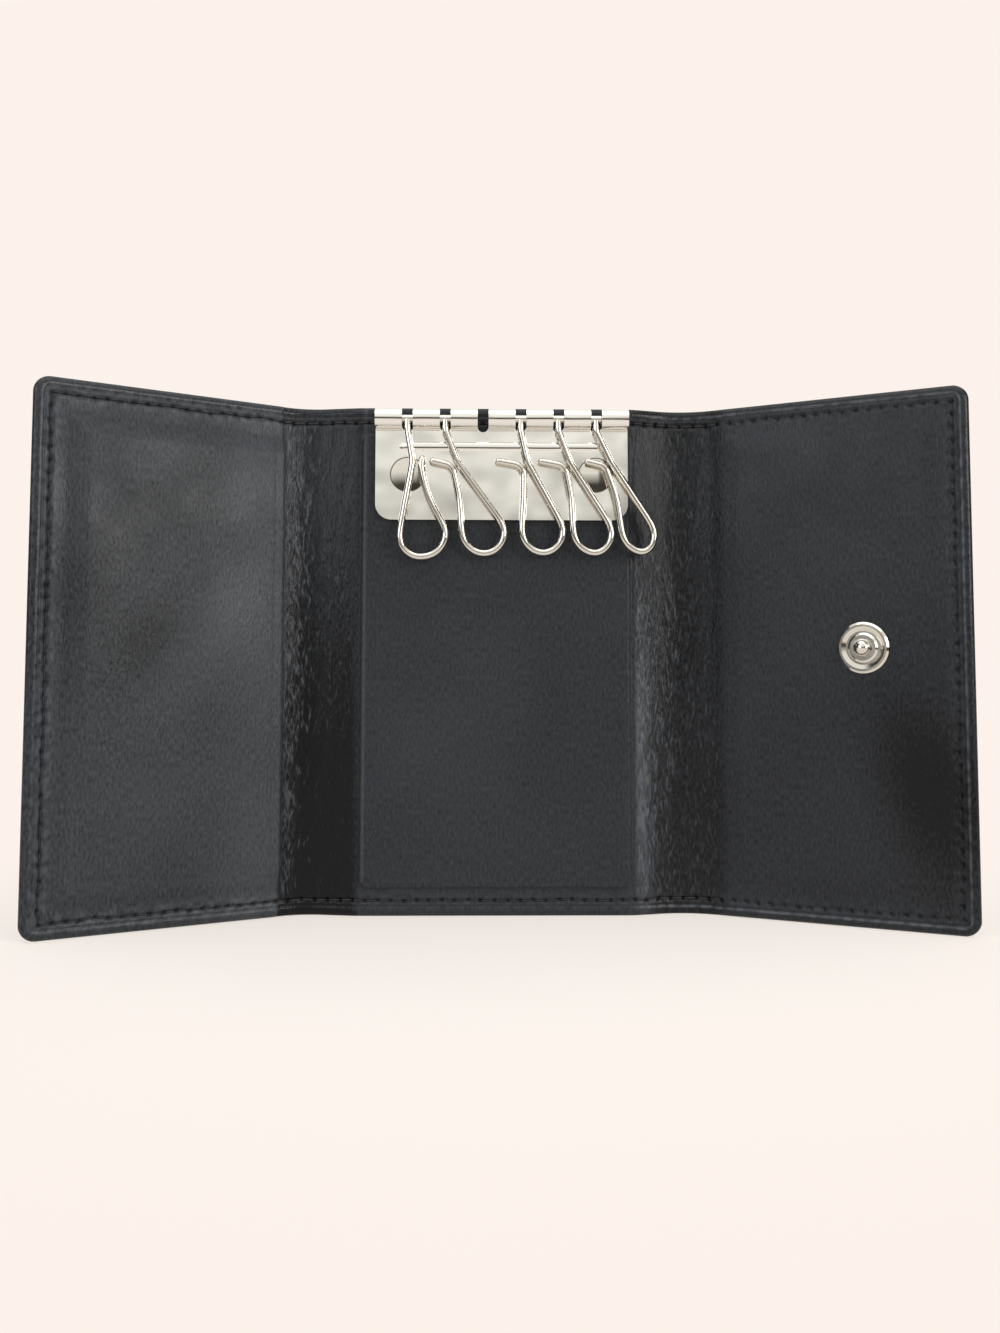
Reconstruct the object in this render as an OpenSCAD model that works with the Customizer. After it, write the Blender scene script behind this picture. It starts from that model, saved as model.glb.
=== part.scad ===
// Folding key case: three leather panels joined by two soft spines, standing open
// on its bottom edge, with a curled metal key plate and five swinging hooks.
// X runs to the right, Y away from the inner face, Z up the folds.
// The origin is the middle of the centre panel at the bottom edge, where its inner skin lies.

/* [Case] */
// Height of the case along its folds
case_h = 100; // [90:1:120]
// Radius of the wings' outer corners
corner_r = 3; // [1:0.5:6]
// Distance from a free edge to the raised field of a panel
field_inset = 5.2; // [4:0.2:8]
// Distance from a fold to the raised field of a wing
field_gap = 1; // [0.8:0.1:2]

/* [Leather] */
// Thickness of the inner skin
lining_t = 0.6; // [0.4:0.1:0.8]
// Thickness of the outer leather
outer_t = 0.9; // [0.7:0.1:1.2]
// Thickness of the stiffening boards
board_t = 0.6; // [0.4:0.1:0.6]
// Thickness of the pocket panel's leather
pocket_t = 0.5; // [0.4:0.1:0.7]
// Clear height inside the pocket
pocket_slot = 0.3; // [0.2:0.1:0.5]
// Radial gap between a fold's round nose and the hollow end that turns round it
fold_gap = 0.2; // [0.15:0.05:0.3]

/* [Centre panel] */
// Width of the raised pad
pad_w = 53.4; // [52:0.2:56]
// Radius of the pad's corners
pad_corner_r = 2; // [1:0.5:4]
// Flat strip beside the pad before the skin slopes back
pad_side = 0.5; // [0.3:0.1:1]
// Distance from the panel's middle to the left fold
left_reach = 33.4; // [31:0.2:36]
// Distance from the panel's middle to the right fold
right_reach = 31; // [30.6:0.2:34]
// How far back the two folds lie behind the pad's skin
fold_drop = 1.2; // [0.6:0.1:2]

/* [Left side] */
// Width of the left spine from fold to fold
left_spine_w = 8.1; // [8:0.1:10]
// How far the left spine bows back
left_spine_bow = 0.9; // [0.4:0.1:1.4]
// Angle of the left spine from flat, as it stands
left_spine_rest = 8.5; // [0:0.5:20]
// Width of the left wing from its fold to its free edge
left_wing_w = 49.4; // [44:0.2:54]
// Angle of the left wing from flat, as it stands
left_wing_rest = 33; // [10:1:60]

/* [Right side] */
// Width of the right spine from fold to fold
right_spine_w = 13.3; // [13.2:0.1:16]
// How far the right spine bows back
right_spine_bow = 1.8; // [0.8:0.1:2.4]
// Angle of the right spine from flat, as it stands
right_spine_rest = 5.2; // [0:0.4:20]
// Width of the right wing from its fold to its free edge
right_wing_w = 48.1; // [42:0.1:52]
// Angle of the right wing from flat, as it stands
right_wing_rest = 30; // [10:1:60]

/* [Key plate] */
// Thickness of the plate's sheet metal
sheet_t = 0.9; // [0.7:0.1:1]
// Distance between two neighbouring hooks
knuckle_pitch = 7.45; // [7.2:0.05:7.6]
// Width of the slot between two curled knuckles
slot_w = 2.15; // [2:0.05:2.4]
// Outer diameter of a curled knuckle
knuckle_d = 4; // [3.8:0.1:4.4]
// Height of the plate with its knuckles
plate_h = 22; // [19:0.2:24]
// Radius of the plate's lower corners
plate_corner_r = 3.2; // [1:0.2:4]
// Distance from the case's top edge down to the knuckles
plate_drop = 0.7; // [0.4:0.1:2]
// Sideways place of the plate on the pad
plate_x = 1.1; // [-1:0.1:1.5]
// Depth of the slots, from the top of the knuckles
slot_depth = 4.5; // [4.2:0.1:6]
// Length of the embossed rib without its points
rib_l = 38; // [30:1:42]
// Width of the embossed rib
rib_w = 1.8; // [1:0.1:2.5]
// Height of the embossed rib above the sheet
rib_h = 0.25; // [0.15:0.05:0.3]
// Length of each pointed end of the rib
rib_point = 1.4; // [0.8:0.2:2.4]
// Distance from the knuckles' top down to the rib
rib_drop = 7.4; // [6.5:0.1:9]
// Gap between the free edge of a curl and the sheet it curls back to
seam_gap = 0.2; // [0.1:0.05:0.3]

/* [Plate rivets] */
// Diameter of a rivet's head
rivet_head_d = 6.6; // [4:0.2:7]
// Height of a rivet's low dome
rivet_head_h = 0.3; // [0.2:0.05:0.4]
// Diameter of a rivet's shank
rivet_d = 2.4; // [2:0.1:3]
// Distance between the two rivets
rivet_span = 37.2; // [30:0.2:39]
// Distance from the knuckles' top down to the rivets
rivet_drop = 13; // [11:0.5:16]
// Diameter of the washer under the outer leather
washer_d = 4; // [3.6:0.2:5]
// Thickness of that washer
washer_t = 0.35; // [0.2:0.05:0.45]

/* [Hooks] */
// Diameter of the hook wire
wire_d = 1.4; // [1.2:0.05:1.4]
// Drop from the pin to the lowest bend of a hook
hook_drop = 27; // [24:0.5:28]
// Length of a hook's pin inside one knuckle
pin_l = 1.2; // [1:0.1:1.4]
// Radial play of a hook's pin in its knuckle
pin_fit = 0.08; // [0.04:0.01:0.1]

/* [Snap fastener] */
// Distance from the snap's middle to the free side of the left wing's raised field
snap_margin = 7.7; // [6:0.1:12]
// Height of the snap above the bottom edge
snap_z = 51.8; // [40:0.2:60]
// Diameter of the stud's flange
stud_flange_d = 9.6; // [8.6:0.2:10]
// Thickness of the stud's flange
stud_flange_t = 0.6; // [0.5:0.1:0.8]
// Height of the stud from the skin to the top of its ball
stud_h = 2.8; // [2.6:0.1:2.9]
// Diameter of the stud's ball
ball_d = 3.2; // [3:0.1:3.4]
// Diameter of the socket
socket_d = 10; // [9:0.2:11]
// Gap between flange and socket when the case is closed
snap_gap = 0.3; // [0.2:0.05:0.4]
// Diameter of the wire of the ring spring in the socket
spring_wire_d = 0.6; // [0.4:0.05:0.6]
// Diameter of the fixing flanges hidden between the layers
fixing_d = 8; // [7:0.2:8.4]

/* [Hidden] */
$fn = 64;

leather_colour = "#303032";
lining_colour = "#3c3d3f";
board_colour = "#8d7f68";
nickel_colour = "#d9d7d0";
steel_colour = "#a9a9a6";

// Small overrun that lets one cut pass clean through another face, in sheet thicknesses
overrun_share = 0.01;
overrun = overrun_share * sheet_t;
// Radial fit of a shank in its hole, and of a disc in its recess
hole_fit = 0.05;

skin_t = lining_t + outer_t;

// A raised field stands one skin thickness above its border
raise = lining_t;

// Key plate places, with the sheet lying on the pad
knuckle_w = knuckle_pitch - slot_w;
knuckle_count = 7;
plate_w = (knuckle_count - 1) * knuckle_pitch + knuckle_w;
plate_top = case_h - plate_drop;
pin_z = plate_top - knuckle_d / 2;
pin_y = -raise - knuckle_d / 2;
bore_d = knuckle_d - 2 * sheet_t;
// How far a curl's free edge stops below the pin line, in bore diameters
curl_share = 1 / 8;
rivet_z = plate_top - rivet_drop;
rivet_seat_y = -raise - sheet_t;
washer_y = lining_t;

// Snap places: the socket meets the stud when both sides are folded shut
socket_reach = left_wing_w - field_inset - pocket_t - snap_margin;
snap_reach = left_reach + right_reach - socket_reach;
socket_h = (right_spine_w - raise - stud_flange_t - snap_gap) - (left_spine_w + skin_t);
ball_r = ball_d / 2;
// Play round the ball in the socket's hole and in its spring, in ball radii
hole_play_share = 0.22;
spring_play_share = 0.06;
socket_hole_r = ball_r * (1 + hole_play_share);
spring_r = ball_r * (1 + spring_play_share) + spring_wire_d / 2;
groove_r = spring_r + spring_wire_d / 2 + hole_fit;
groove_h = spring_wire_d + 2 * hole_fit;
dish_t = stud_flange_t / 2;
post_d = rivet_d;
// Thickness of the hidden fixing flanges, sunk in the board
fixing_share = 0.85;
fixing_t = board_t * fixing_share;
// Width of the stud's rim in flange diameters, and size of its neck in ball radii
rim_share = 1 / 12;
neck_r_share = 0.8;
neck_l_share = 0.15;
// Rounded-off outer edge of the socket, in socket heights
socket_edge_share = 1 / 4;

// Bend points of the common hook: sideways in knuckle pitches, down in hook drops,
// and the bend radius in hook drops. Each hook shears the loop sideways by its lean,
// and sets the places of its foot, its long side and its tip.
function common_hook_shares(lean, foot, side, tip) = [
  [0, 0, 0],
  [0, 0.089, 0.09],
  [0.33 + 0.3 * lean, 0.322, 0.22],
  [side + lean, 0.905, 0.11],
  [foot + lean, 1.012, 0.122],
  [foot - 0.1 + 0.6 * lean, 0.593, 0.9],
  [0.19 + 0.2 * lean, 0.347, 0.088],
  [0.25 * lean - tip, 0.314, 0]
];
// The first hook hangs the other way round, and its long side is the closing leg
first_hook_shares = [
  [0, 0, 0],
  [0, 0.088, 0.22],
  [0.14, 0.315, 0.22],
  [-0.31, 1.03, 0.111],
  [1.314, 0.939, 0.122],
  [0.515, 0.581, 0.9],
  [0.36, 0.345, 0.05],
  [0.39, 0.3, 0]
];

// Diameter of a straight stretch of wire and its lap into a bend, in wire diameters
straight_share = 0.98;
wire_lap_share = 0.05;

// Fold lines of both sides, as seen from the panel's middle
left_fold = [left_reach, fold_drop];
right_fold = [right_reach, fold_drop];
left_hinge = left_fold + left_spine_w * [cos(left_spine_rest), -sin(left_spine_rest)];
right_hinge = right_fold + right_spine_w * [cos(right_spine_rest), -sin(right_spine_rest)];

// Flat outlines and plates

// Rectangle whose two far corners are round
module edge_outline(near, far, low, high, r) {
  translate([near, low]) square([far - near - r, high - low]);
  translate([far - 2 * r, low + r]) square([2 * r, high - low - 2 * r]);
  for (z = [low + r, high - r]) translate([far - r, z]) circle(r);
}

// Rectangle whose four corners are round
module pad_outline(w, low, high, r) {
  translate([-w / 2 + r, low]) square([w - 2 * r, high - low]);
  translate([-w / 2, low + r]) square([w, high - low - 2 * r]);
  for (x = [-w / 2 + r, w / 2 - r], z = [low + r, high - r]) translate([x, z]) circle(r);
}

// Raises a flat outline of the X and Z axes into a sheet that starts at depth y
module sheet(y, t) {
  translate([0, y + t, 0]) rotate([90, 0, 0]) linear_extrude(t) children();
}

// A disc or hole through the sheets, centred on a place of the X and Z axes
module through(x, z, y, t, r) {
  translate([x, y, z]) rotate([-90, 0, 0]) cylinder(h = t, r = r);
}

// Quarter-round nose of a layer, on the near side of a fold line at the origin
module nose(inner_r, outer_r) {
  intersection() {
    difference() {
      circle(outer_r);
      if (inner_r > 0) circle(inner_r);
    }
    translate([-outer_r, 0]) square(outer_r);
  }
}

// Frames of the moving panels, each with its fold line at the origin and its
// free side toward +X
module left_spine_frame() {
  mirror([1, 0, 0]) translate(left_fold) rotate([0, 0, -left_spine_rest]) children();
}

module left_wing_frame() {
  mirror([1, 0, 0]) translate(left_hinge) rotate([0, 0, -left_wing_rest]) children();
}

module right_spine_frame() {
  translate(right_fold) rotate([0, 0, -right_spine_rest]) children();
}

module right_wing_frame() {
  translate(right_hinge) rotate([0, 0, -right_wing_rest]) children();
}

// Centre panel

// One layer of the centre panel, between two depths below its inner skin
module centre_layer(from, to) {
  flat = pad_w / 2 + pad_side;
  linear_extrude(case_h) {
    polygon([
      [-left_reach, fold_drop + from], [-flat, from],
      [flat, from], [right_reach, fold_drop + from],
      [right_reach, fold_drop + to], [flat, to],
      [-flat, to], [-left_reach, fold_drop + to]
    ]);
    translate([-left_reach, fold_drop]) nose(from, to);
    translate([right_reach, fold_drop]) mirror([1, 0]) nose(from, to);
  }
}

// Outline of the centre pad, drawn in by a margin
module centre_field(margin) {
  pad_outline(pad_w - 2 * margin, field_inset + margin, case_h - field_inset - margin,
    pad_corner_r - margin / 2);
}

// Both rivet places of the key plate
module at_rivets() {
  for (side = [-1, 1]) translate([plate_x + side * rivet_span / 2, 0, rivet_z]) children();
}

module centre_outer() {
  color(leather_colour) difference() {
    centre_layer(lining_t, skin_t);
    at_rivets() through(0, 0, washer_y - overrun, washer_t + overrun, washer_d / 2 + hole_fit);
  }
}

module centre_lining() {
  color(lining_colour) difference() {
    union() {
      centre_layer(0, lining_t);
      sheet(-raise, raise) centre_field(0);
    }
    sheet(0, board_t) centre_field(lining_t);
    at_rivets() through(0, 0, -raise - overrun, raise + 2 * overrun, rivet_d / 2 + hole_fit);
  }
}

module centre_board() {
  color(board_colour) difference() {
    sheet(0, board_t) centre_field(lining_t);
    at_rivets() through(0, 0, -overrun, board_t + 2 * overrun, rivet_d / 2 + hole_fit);
  }
}

// Spines

// One layer of a bowed spine, hollowed at both ends to turn round the noses
module spine_layer(w, bow, from, to) {
  bow_r = (w * w / 4 + bow * bow) / (2 * bow);
  linear_extrude(case_h) difference() {
    intersection() {
      difference() {
        translate([w / 2, bow - bow_r]) circle(bow_r + to);
        translate([w / 2, bow - bow_r]) circle(bow_r + from);
      }
      square([w, bow + 2 * skin_t]);
    }
    for (x = [0, w]) translate([x, 0]) circle(skin_t + fold_gap);
  }
}

module left_spine_outer() {
  color(leather_colour) left_spine_frame() spine_layer(left_spine_w, left_spine_bow, lining_t, skin_t);
}

module left_spine_lining() {
  color(lining_colour) left_spine_frame() spine_layer(left_spine_w, left_spine_bow, 0, lining_t);
}

module right_spine_outer() {
  color(leather_colour) right_spine_frame() spine_layer(right_spine_w, right_spine_bow, lining_t, skin_t);
}

module right_spine_lining() {
  color(lining_colour) right_spine_frame() spine_layer(right_spine_w, right_spine_bow, 0, lining_t);
}

// Wings

// One layer of a wing's skin with its share of the round nose
module wing_layer(w, from, to) {
  sheet(from, to - from) edge_outline(0, w, 0, case_h, corner_r);
  linear_extrude(case_h) nose(from, to);
}

// Outline of a wing's raised field, drawn in by margins at its free sides and its fold
module wing_field(w, margin, fold_margin) {
  edge_outline(field_gap + fold_margin, w - field_inset - margin,
    field_inset + margin, case_h - field_inset - margin, corner_r / 2);
}

// Inner skin of a wing, formed over its board
module wing_lining(w, margin) {
  difference() {
    union() {
      wing_layer(w, 0, lining_t);
      sheet(-raise, raise) wing_field(w, margin, 0);
    }
    sheet(0, board_t) wing_field(w, margin + lining_t, lining_t);
  }
}

module left_wing_outer() {
  color(leather_colour) left_wing_frame() difference() {
    wing_layer(left_wing_w, lining_t, skin_t);
    through(socket_reach, snap_z, lining_t - overrun, outer_t + 2 * overrun, socket_hole_r + hole_fit);
  }
}

module left_wing_lining() {
  color(lining_colour) left_wing_frame() wing_lining(left_wing_w, pocket_t);
}

module left_wing_board() {
  color(board_colour) left_wing_frame() difference() {
    sheet(0, board_t) wing_field(left_wing_w, pocket_t + lining_t, lining_t);
    through(socket_reach, snap_z, -overrun, board_t + 2 * overrun, fixing_d / 2 + hole_fit);
  }
}

// Panel sewn down on three sides and open toward the fold
module left_pocket() {
  tray_h = raise + pocket_slot + pocket_t;
  color(lining_colour) left_wing_frame() difference() {
    union() {
      difference() {
        sheet(-pocket_t, pocket_t) edge_outline(field_gap, left_wing_w, 0, case_h, corner_r);
        sheet(-pocket_t - overrun, pocket_t + 2 * overrun) wing_field(left_wing_w, pocket_t, -field_gap);
      }
      sheet(-tray_h, tray_h) wing_field(left_wing_w, 0, 0);
    }
    sheet(pocket_t - tray_h, tray_h) wing_field(left_wing_w, pocket_t, -field_gap);
  }
}

module right_wing_outer() {
  color(leather_colour) right_wing_frame() wing_layer(right_wing_w, lining_t, skin_t);
}

module right_wing_lining() {
  color(lining_colour) right_wing_frame() difference() {
    wing_lining(right_wing_w, 0);
    through(snap_reach, snap_z, -raise - overrun, raise + 2 * overrun, post_d / 2 + hole_fit);
  }
}

module right_wing_board() {
  color(board_colour) right_wing_frame() difference() {
    sheet(0, board_t) wing_field(right_wing_w, lining_t, lining_t);
    through(snap_reach, snap_z, -overrun, board_t + 2 * overrun, fixing_d / 2 + hole_fit);
  }
}

// Key plate

// Front outline of the flat sheet, with its slots open at the top
module plate_outline() {
  low = plate_top - plate_h;
  difference() {
    union() {
      translate([-plate_w / 2 + plate_corner_r, low]) square([plate_w - 2 * plate_corner_r, plate_corner_r]);
      translate([-plate_w / 2, low + plate_corner_r]) square([plate_w, pin_z - low - plate_corner_r]);
      for (side = [-1, 1]) {
        translate([side * (plate_w / 2 - plate_corner_r), low + plate_corner_r]) circle(plate_corner_r);
      }
    }
    for (i = [0 : knuckle_count - 2]) translate([slot_x(i), plate_top - slot_depth + slot_w / 2]) {
      translate([-slot_w / 2, 0]) square([slot_w, slot_depth]);
      circle(slot_w / 2);
    }
  }
}

// Middle of a slot, measured from the middle of the plate
function slot_x(i) = (i - (knuckle_count - 2) / 2) * knuckle_pitch;

// One knuckle: the sheet curled round the pin line, its edge just clear of the sheet
module knuckle() {
  difference() {
    translate([-knuckle_w / 2, 0, 0]) rotate([0, 90, 0]) cylinder(h = knuckle_w, d = knuckle_d);
    translate([-knuckle_w / 2 - overrun, bore_d / 2 - seam_gap, -knuckle_d / 2])
      cube([knuckle_w + 2 * overrun, seam_gap, knuckle_d / 2 - bore_d * curl_share]);
  }
}

// Raised rib with pointed ends, a slice of a lying cylinder
module rib() {
  rib_r = (rib_w * rib_w / 4 + rib_h * rib_h) / (2 * rib_h);
  point_r = rib_r - rib_h;
  intersection() {
    translate([0, rib_r - rib_h, 0]) {
      translate([-rib_l / 2, 0, 0]) rotate([0, 90, 0]) cylinder(h = rib_l, r = rib_r);
      for (side = [-1, 1]) translate([side * rib_l / 2, 0, 0]) rotate([0, side * 90, 0])
        cylinder(h = rib_point, r1 = rib_r, r2 = point_r);
    }
    translate([-plate_w / 2, -rib_h, -rib_w]) cube([plate_w, rib_h + sheet_t / 2, 2 * rib_w]);
  }
}

module key_plate() {
  color(nickel_colour) translate([plate_x, 0, 0]) difference() {
    union() {
      sheet(rivet_seat_y, sheet_t) plate_outline();
      for (i = [0 : knuckle_count - 1]) translate([slot_x(i) - knuckle_pitch / 2, pin_y, pin_z]) knuckle();
      translate([0, rivet_seat_y, plate_top - rib_drop]) rib();
    }
    translate([-plate_w / 2 - overrun, pin_y, pin_z]) rotate([0, 90, 0])
      cylinder(h = plate_w + 2 * overrun, d = bore_d);
    for (side = [-1, 1])
      through(side * rivet_span / 2, rivet_z, rivet_seat_y - overrun, sheet_t + 2 * overrun,
        rivet_d / 2 + hole_fit);
  }
}

// Low-domed rivet through plate, skin and board, closed on its washer
module rivet(side) {
  dome_r = (rivet_head_d * rivet_head_d / 4 + rivet_head_h * rivet_head_h) / (2 * rivet_head_h);
  color(nickel_colour) translate([plate_x + side * rivet_span / 2, rivet_seat_y, rivet_z]) {
    intersection() {
      translate([0, dome_r - rivet_head_h, 0]) sphere(dome_r, $fn = 4 * $fn);
      through(0, 0, -rivet_head_h, rivet_head_h, rivet_head_d / 2);
    }
    through(0, 0, -rivet_head_h / 2, rivet_head_h / 2 + sheet_t + raise + lining_t + washer_t, rivet_d / 2);
  }
}

module washer(side) {
  color(steel_colour) translate([plate_x + side * rivet_span / 2, 0, rivet_z]) difference() {
    through(0, 0, washer_y, washer_t, washer_d / 2);
    through(0, 0, washer_y - overrun, washer_t + 2 * overrun, rivet_d / 2 + hole_fit);
  }
}

module rivet_left() { rivet(-1); }
module rivet_right() { rivet(1); }
module washer_left() { washer(-1); }
module washer_right() { washer(1); }

// Hooks

// Direction from one point of the wire's plane to another
function unit(v) = v / norm(v);
function flat_point(p) = [p[0], p[1]];

// Length that a bend of radius r takes up on each side of bend point i
function bend_reach(path, i) =
  let (to_last = unit(flat_point(path[i - 1]) - flat_point(path[i])),
       to_next = unit(flat_point(path[i + 1]) - flat_point(path[i])),
       opening = acos(to_last * to_next))
  path[i][2] / tan(opening / 2);

// Centre of the bend at point i
function bend_centre(path, i) =
  let (here = flat_point(path[i]),
       to_last = unit(flat_point(path[i - 1]) - here),
       to_next = unit(flat_point(path[i + 1]) - here),
       opening = acos(to_last * to_next))
  here + unit(to_last + to_next) * path[i][2] / sin(opening / 2);

// Where the wire leaves point i straight toward point i + 1, and where it arrives there
function leaves(path, i) =
  let (here = flat_point(path[i]), next = flat_point(path[i + 1]))
  i == 0 ? here : here + unit(next - here) * bend_reach(path, i);
function arrives(path, i) =
  let (here = flat_point(path[i]), last = flat_point(path[i - 1]))
  i == len(path) - 1 ? here : here + unit(last - here) * bend_reach(path, i);

// Straight piece of wire between two points of the plane. It is a hair thinner than
// the bends, and laps into them at both ends.
module straight_wire(from, to, d) {
  run = to - from;
  lap = wire_lap_share * d;
  translate(from) rotate([0, 0, atan2(run[1], run[0])]) rotate([0, 90, 0]) translate([0, 0, -lap])
    cylinder(h = norm(run) + 2 * lap, d = straight_share * d);
}

// Bent piece of wire at point i, a slice of a ring
module bent_wire(path, i, d) {
  centre = bend_centre(path, i);
  from = arrives(path, i) - centre;
  to = leaves(path, i) - centre;
  turn = atan2(from[0] * to[1] - from[1] * to[0], from * to);
  first = turn > 0 ? from : to;
  translate(centre) rotate([0, 0, atan2(first[1], first[0])])
    rotate_extrude(angle = abs(turn)) translate([path[i][2], 0]) circle(d = d);
}

// Wire along bend points, with a round end
module wire(path, d) {
  for (i = [0 : len(path) - 2]) straight_wire(leaves(path, i), arrives(path, i + 1), d);
  for (i = [1 : len(path) - 2]) bent_wire(path, i, d);
  translate(flat_point(path[len(path) - 1])) sphere(d = d);
}

// Hook in slot i: a cross pin held by both knuckles, and the bent wire below it
module hook(i, shares) {
  path = [for (p = shares) [p[0] * knuckle_pitch, -p[1] * hook_drop, p[2] * hook_drop]];
  pin_start = slot_w / 2 + pin_fit;
  color(nickel_colour) translate([plate_x + slot_x(i), pin_y, pin_z]) {
    rotate([90, 0, 0]) wire(path, wire_d);
    translate([-pin_start - pin_l / 2, 0, 0]) rotate([0, 90, 0])
      cylinder(h = 2 * pin_start + pin_l, d = wire_d);
    for (side = [-1, 1]) translate([side * pin_start, 0, 0]) rotate([0, side * 90, 0])
      cylinder(h = pin_l, r = bore_d / 2 - pin_fit);
  }
}

module hook_1() { hook(0, first_hook_shares); }
module hook_2() { hook(1, common_hook_shares(0, 0.48, 1.86, 0.34)); }
module hook_4() { hook(3, common_hook_shares(-0.5, 0.48, 1.84, 0.47)); }
module hook_5() { hook(4, common_hook_shares(-0.06, 0.48, 1.71, 0.45)); }
module hook_6() { hook(5, common_hook_shares(0.24, 0.51, 1.53, 0.3)); }

// Snap fastener

// Flange with a raised rim and a boss, the ball on its neck, and the hollow for the post
module snap_stud() {
  rim_w = stud_flange_d * rim_share;
  boss_r = ball_r + rim_w;
  neck_l = ball_r * neck_l_share;
  color(nickel_colour) right_wing_frame() translate([snap_reach, -raise, snap_z]) rotate([90, 0, 0])
    difference() {
      union() {
        rotate_extrude() polygon([
          [0, 0], [stud_flange_d / 2, 0], [stud_flange_d / 2, dish_t],
          [stud_flange_d / 2 - rim_w / 2, stud_flange_t], [stud_flange_d / 2 - rim_w, stud_flange_t],
          [stud_flange_d / 2 - 2 * rim_w, dish_t], [boss_r + rim_w / 2, dish_t],
          [boss_r, stud_flange_t], [0, stud_flange_t]
        ]);
        cylinder(h = stud_h - ball_r, r = ball_r * neck_r_share);
        intersection() {
          translate([0, 0, stud_h - ball_r]) sphere(ball_r);
          translate([0, 0, stud_flange_t + neck_l]) cylinder(h = stud_h, r = 2 * ball_r);
        }
      }
      translate([0, 0, -overrun]) cylinder(h = dish_t + overrun, r = post_d / 2 + hole_fit);
    }
}

// Post and flange that hold the stud from between the layers
module stud_rivet() {
  color(steel_colour) right_wing_frame() {
    through(snap_reach, snap_z, board_t - fixing_t, fixing_t, fixing_d / 2);
    through(snap_reach, snap_z, -raise - dish_t, raise + dish_t + board_t, post_d / 2);
  }
}

// Round socket on the outer face of the left wing, grooved inside for its spring
module snap_socket() {
  groove_z = socket_h / 2;
  edge = socket_h * socket_edge_share;
  color(nickel_colour) left_wing_frame() translate([socket_reach, skin_t, snap_z]) rotate([-90, 0, 0])
    rotate_extrude() polygon([
      [socket_hole_r, 0], [socket_d / 2, 0], [socket_d / 2, socket_h - edge],
      [socket_d / 2 - edge, socket_h], [socket_hole_r, socket_h],
      [socket_hole_r, groove_z + groove_h / 2], [groove_r, groove_z + groove_h / 2],
      [groove_r, groove_z - groove_h / 2], [socket_hole_r, groove_z - groove_h / 2]
    ]);
}

// Ring spring in the socket's groove, drawn as wide as when the ball is through it
module socket_spring() {
  color(steel_colour) left_wing_frame() translate([socket_reach, skin_t + socket_h / 2, snap_z])
    rotate([-90, 0, 0]) rotate_extrude() translate([spring_r, 0]) circle(d = spring_wire_d);
}

// Flange in the board and plug through the outer leather, under the socket's hole
module socket_rivet() {
  color(steel_colour) left_wing_frame() {
    through(socket_reach, snap_z, lining_t - fixing_t, fixing_t, fixing_d / 2);
    through(socket_reach, snap_z, lining_t - fixing_t, fixing_t + outer_t, socket_hole_r);
  }
}

centre_outer();
centre_lining();
centre_board();
left_spine_outer();
left_spine_lining();
left_wing_outer();
left_wing_lining();
left_wing_board();
left_pocket();
right_spine_outer();
right_spine_lining();
right_wing_outer();
right_wing_lining();
right_wing_board();
key_plate();
rivet_left();
rivet_right();
washer_left();
washer_right();
hook_1();
hook_2();
hook_4();
hook_5();
hook_6();
snap_stud();
stud_rivet();
snap_socket();
socket_spring();
socket_rivet();
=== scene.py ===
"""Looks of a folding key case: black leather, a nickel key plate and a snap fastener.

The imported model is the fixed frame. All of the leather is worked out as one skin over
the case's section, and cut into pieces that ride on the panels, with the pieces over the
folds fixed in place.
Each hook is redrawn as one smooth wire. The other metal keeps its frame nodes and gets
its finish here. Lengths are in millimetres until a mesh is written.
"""

import logging
import math
from collections.abc import Callable
from dataclasses import dataclass, field
from enum import Enum

import bpy
import numpy as np
from mathutils import Matrix, Vector


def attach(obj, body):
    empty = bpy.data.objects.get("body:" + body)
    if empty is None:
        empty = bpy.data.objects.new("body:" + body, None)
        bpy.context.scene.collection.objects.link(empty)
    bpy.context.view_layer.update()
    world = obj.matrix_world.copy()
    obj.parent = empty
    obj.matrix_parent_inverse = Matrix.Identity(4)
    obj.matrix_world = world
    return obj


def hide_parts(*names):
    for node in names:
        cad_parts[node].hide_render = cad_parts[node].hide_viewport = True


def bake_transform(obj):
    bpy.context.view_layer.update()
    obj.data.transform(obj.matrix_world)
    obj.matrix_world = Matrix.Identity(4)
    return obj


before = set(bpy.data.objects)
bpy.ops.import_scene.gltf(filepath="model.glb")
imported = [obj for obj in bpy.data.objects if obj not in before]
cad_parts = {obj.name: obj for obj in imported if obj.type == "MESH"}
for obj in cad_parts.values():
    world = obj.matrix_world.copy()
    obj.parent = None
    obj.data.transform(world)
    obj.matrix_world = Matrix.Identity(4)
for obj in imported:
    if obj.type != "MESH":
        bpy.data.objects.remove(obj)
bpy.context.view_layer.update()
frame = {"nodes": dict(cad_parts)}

LOG = logging.getLogger("key_case")
MM = 0.001
Array = np.ndarray
Face = Callable[[Array, Array], Array]
Tree = bpy.types.NodeTree
Socket = bpy.types.NodeSocket
Material = bpy.types.Material
Object = bpy.types.Object
Inputs = dict[str | int, Socket | float | tuple]


# Node trees


def linear(shade: str) -> tuple[float, float, float, float]:
    """Turns an sRGB hex value into linear colour.

    Args:
        shade: colour such as "#303032".
    Returns:
        Red, green, blue and an alpha of one.
    """
    srgb = [int(shade[i : i + 2], 16) / 255 for i in (1, 3, 5)]
    red, green, blue = (c / 12.92 if c <= 0.04045 else ((c + 0.055) / 1.055) ** 2.4 for c in srgb)
    return red, green, blue, 1


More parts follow.
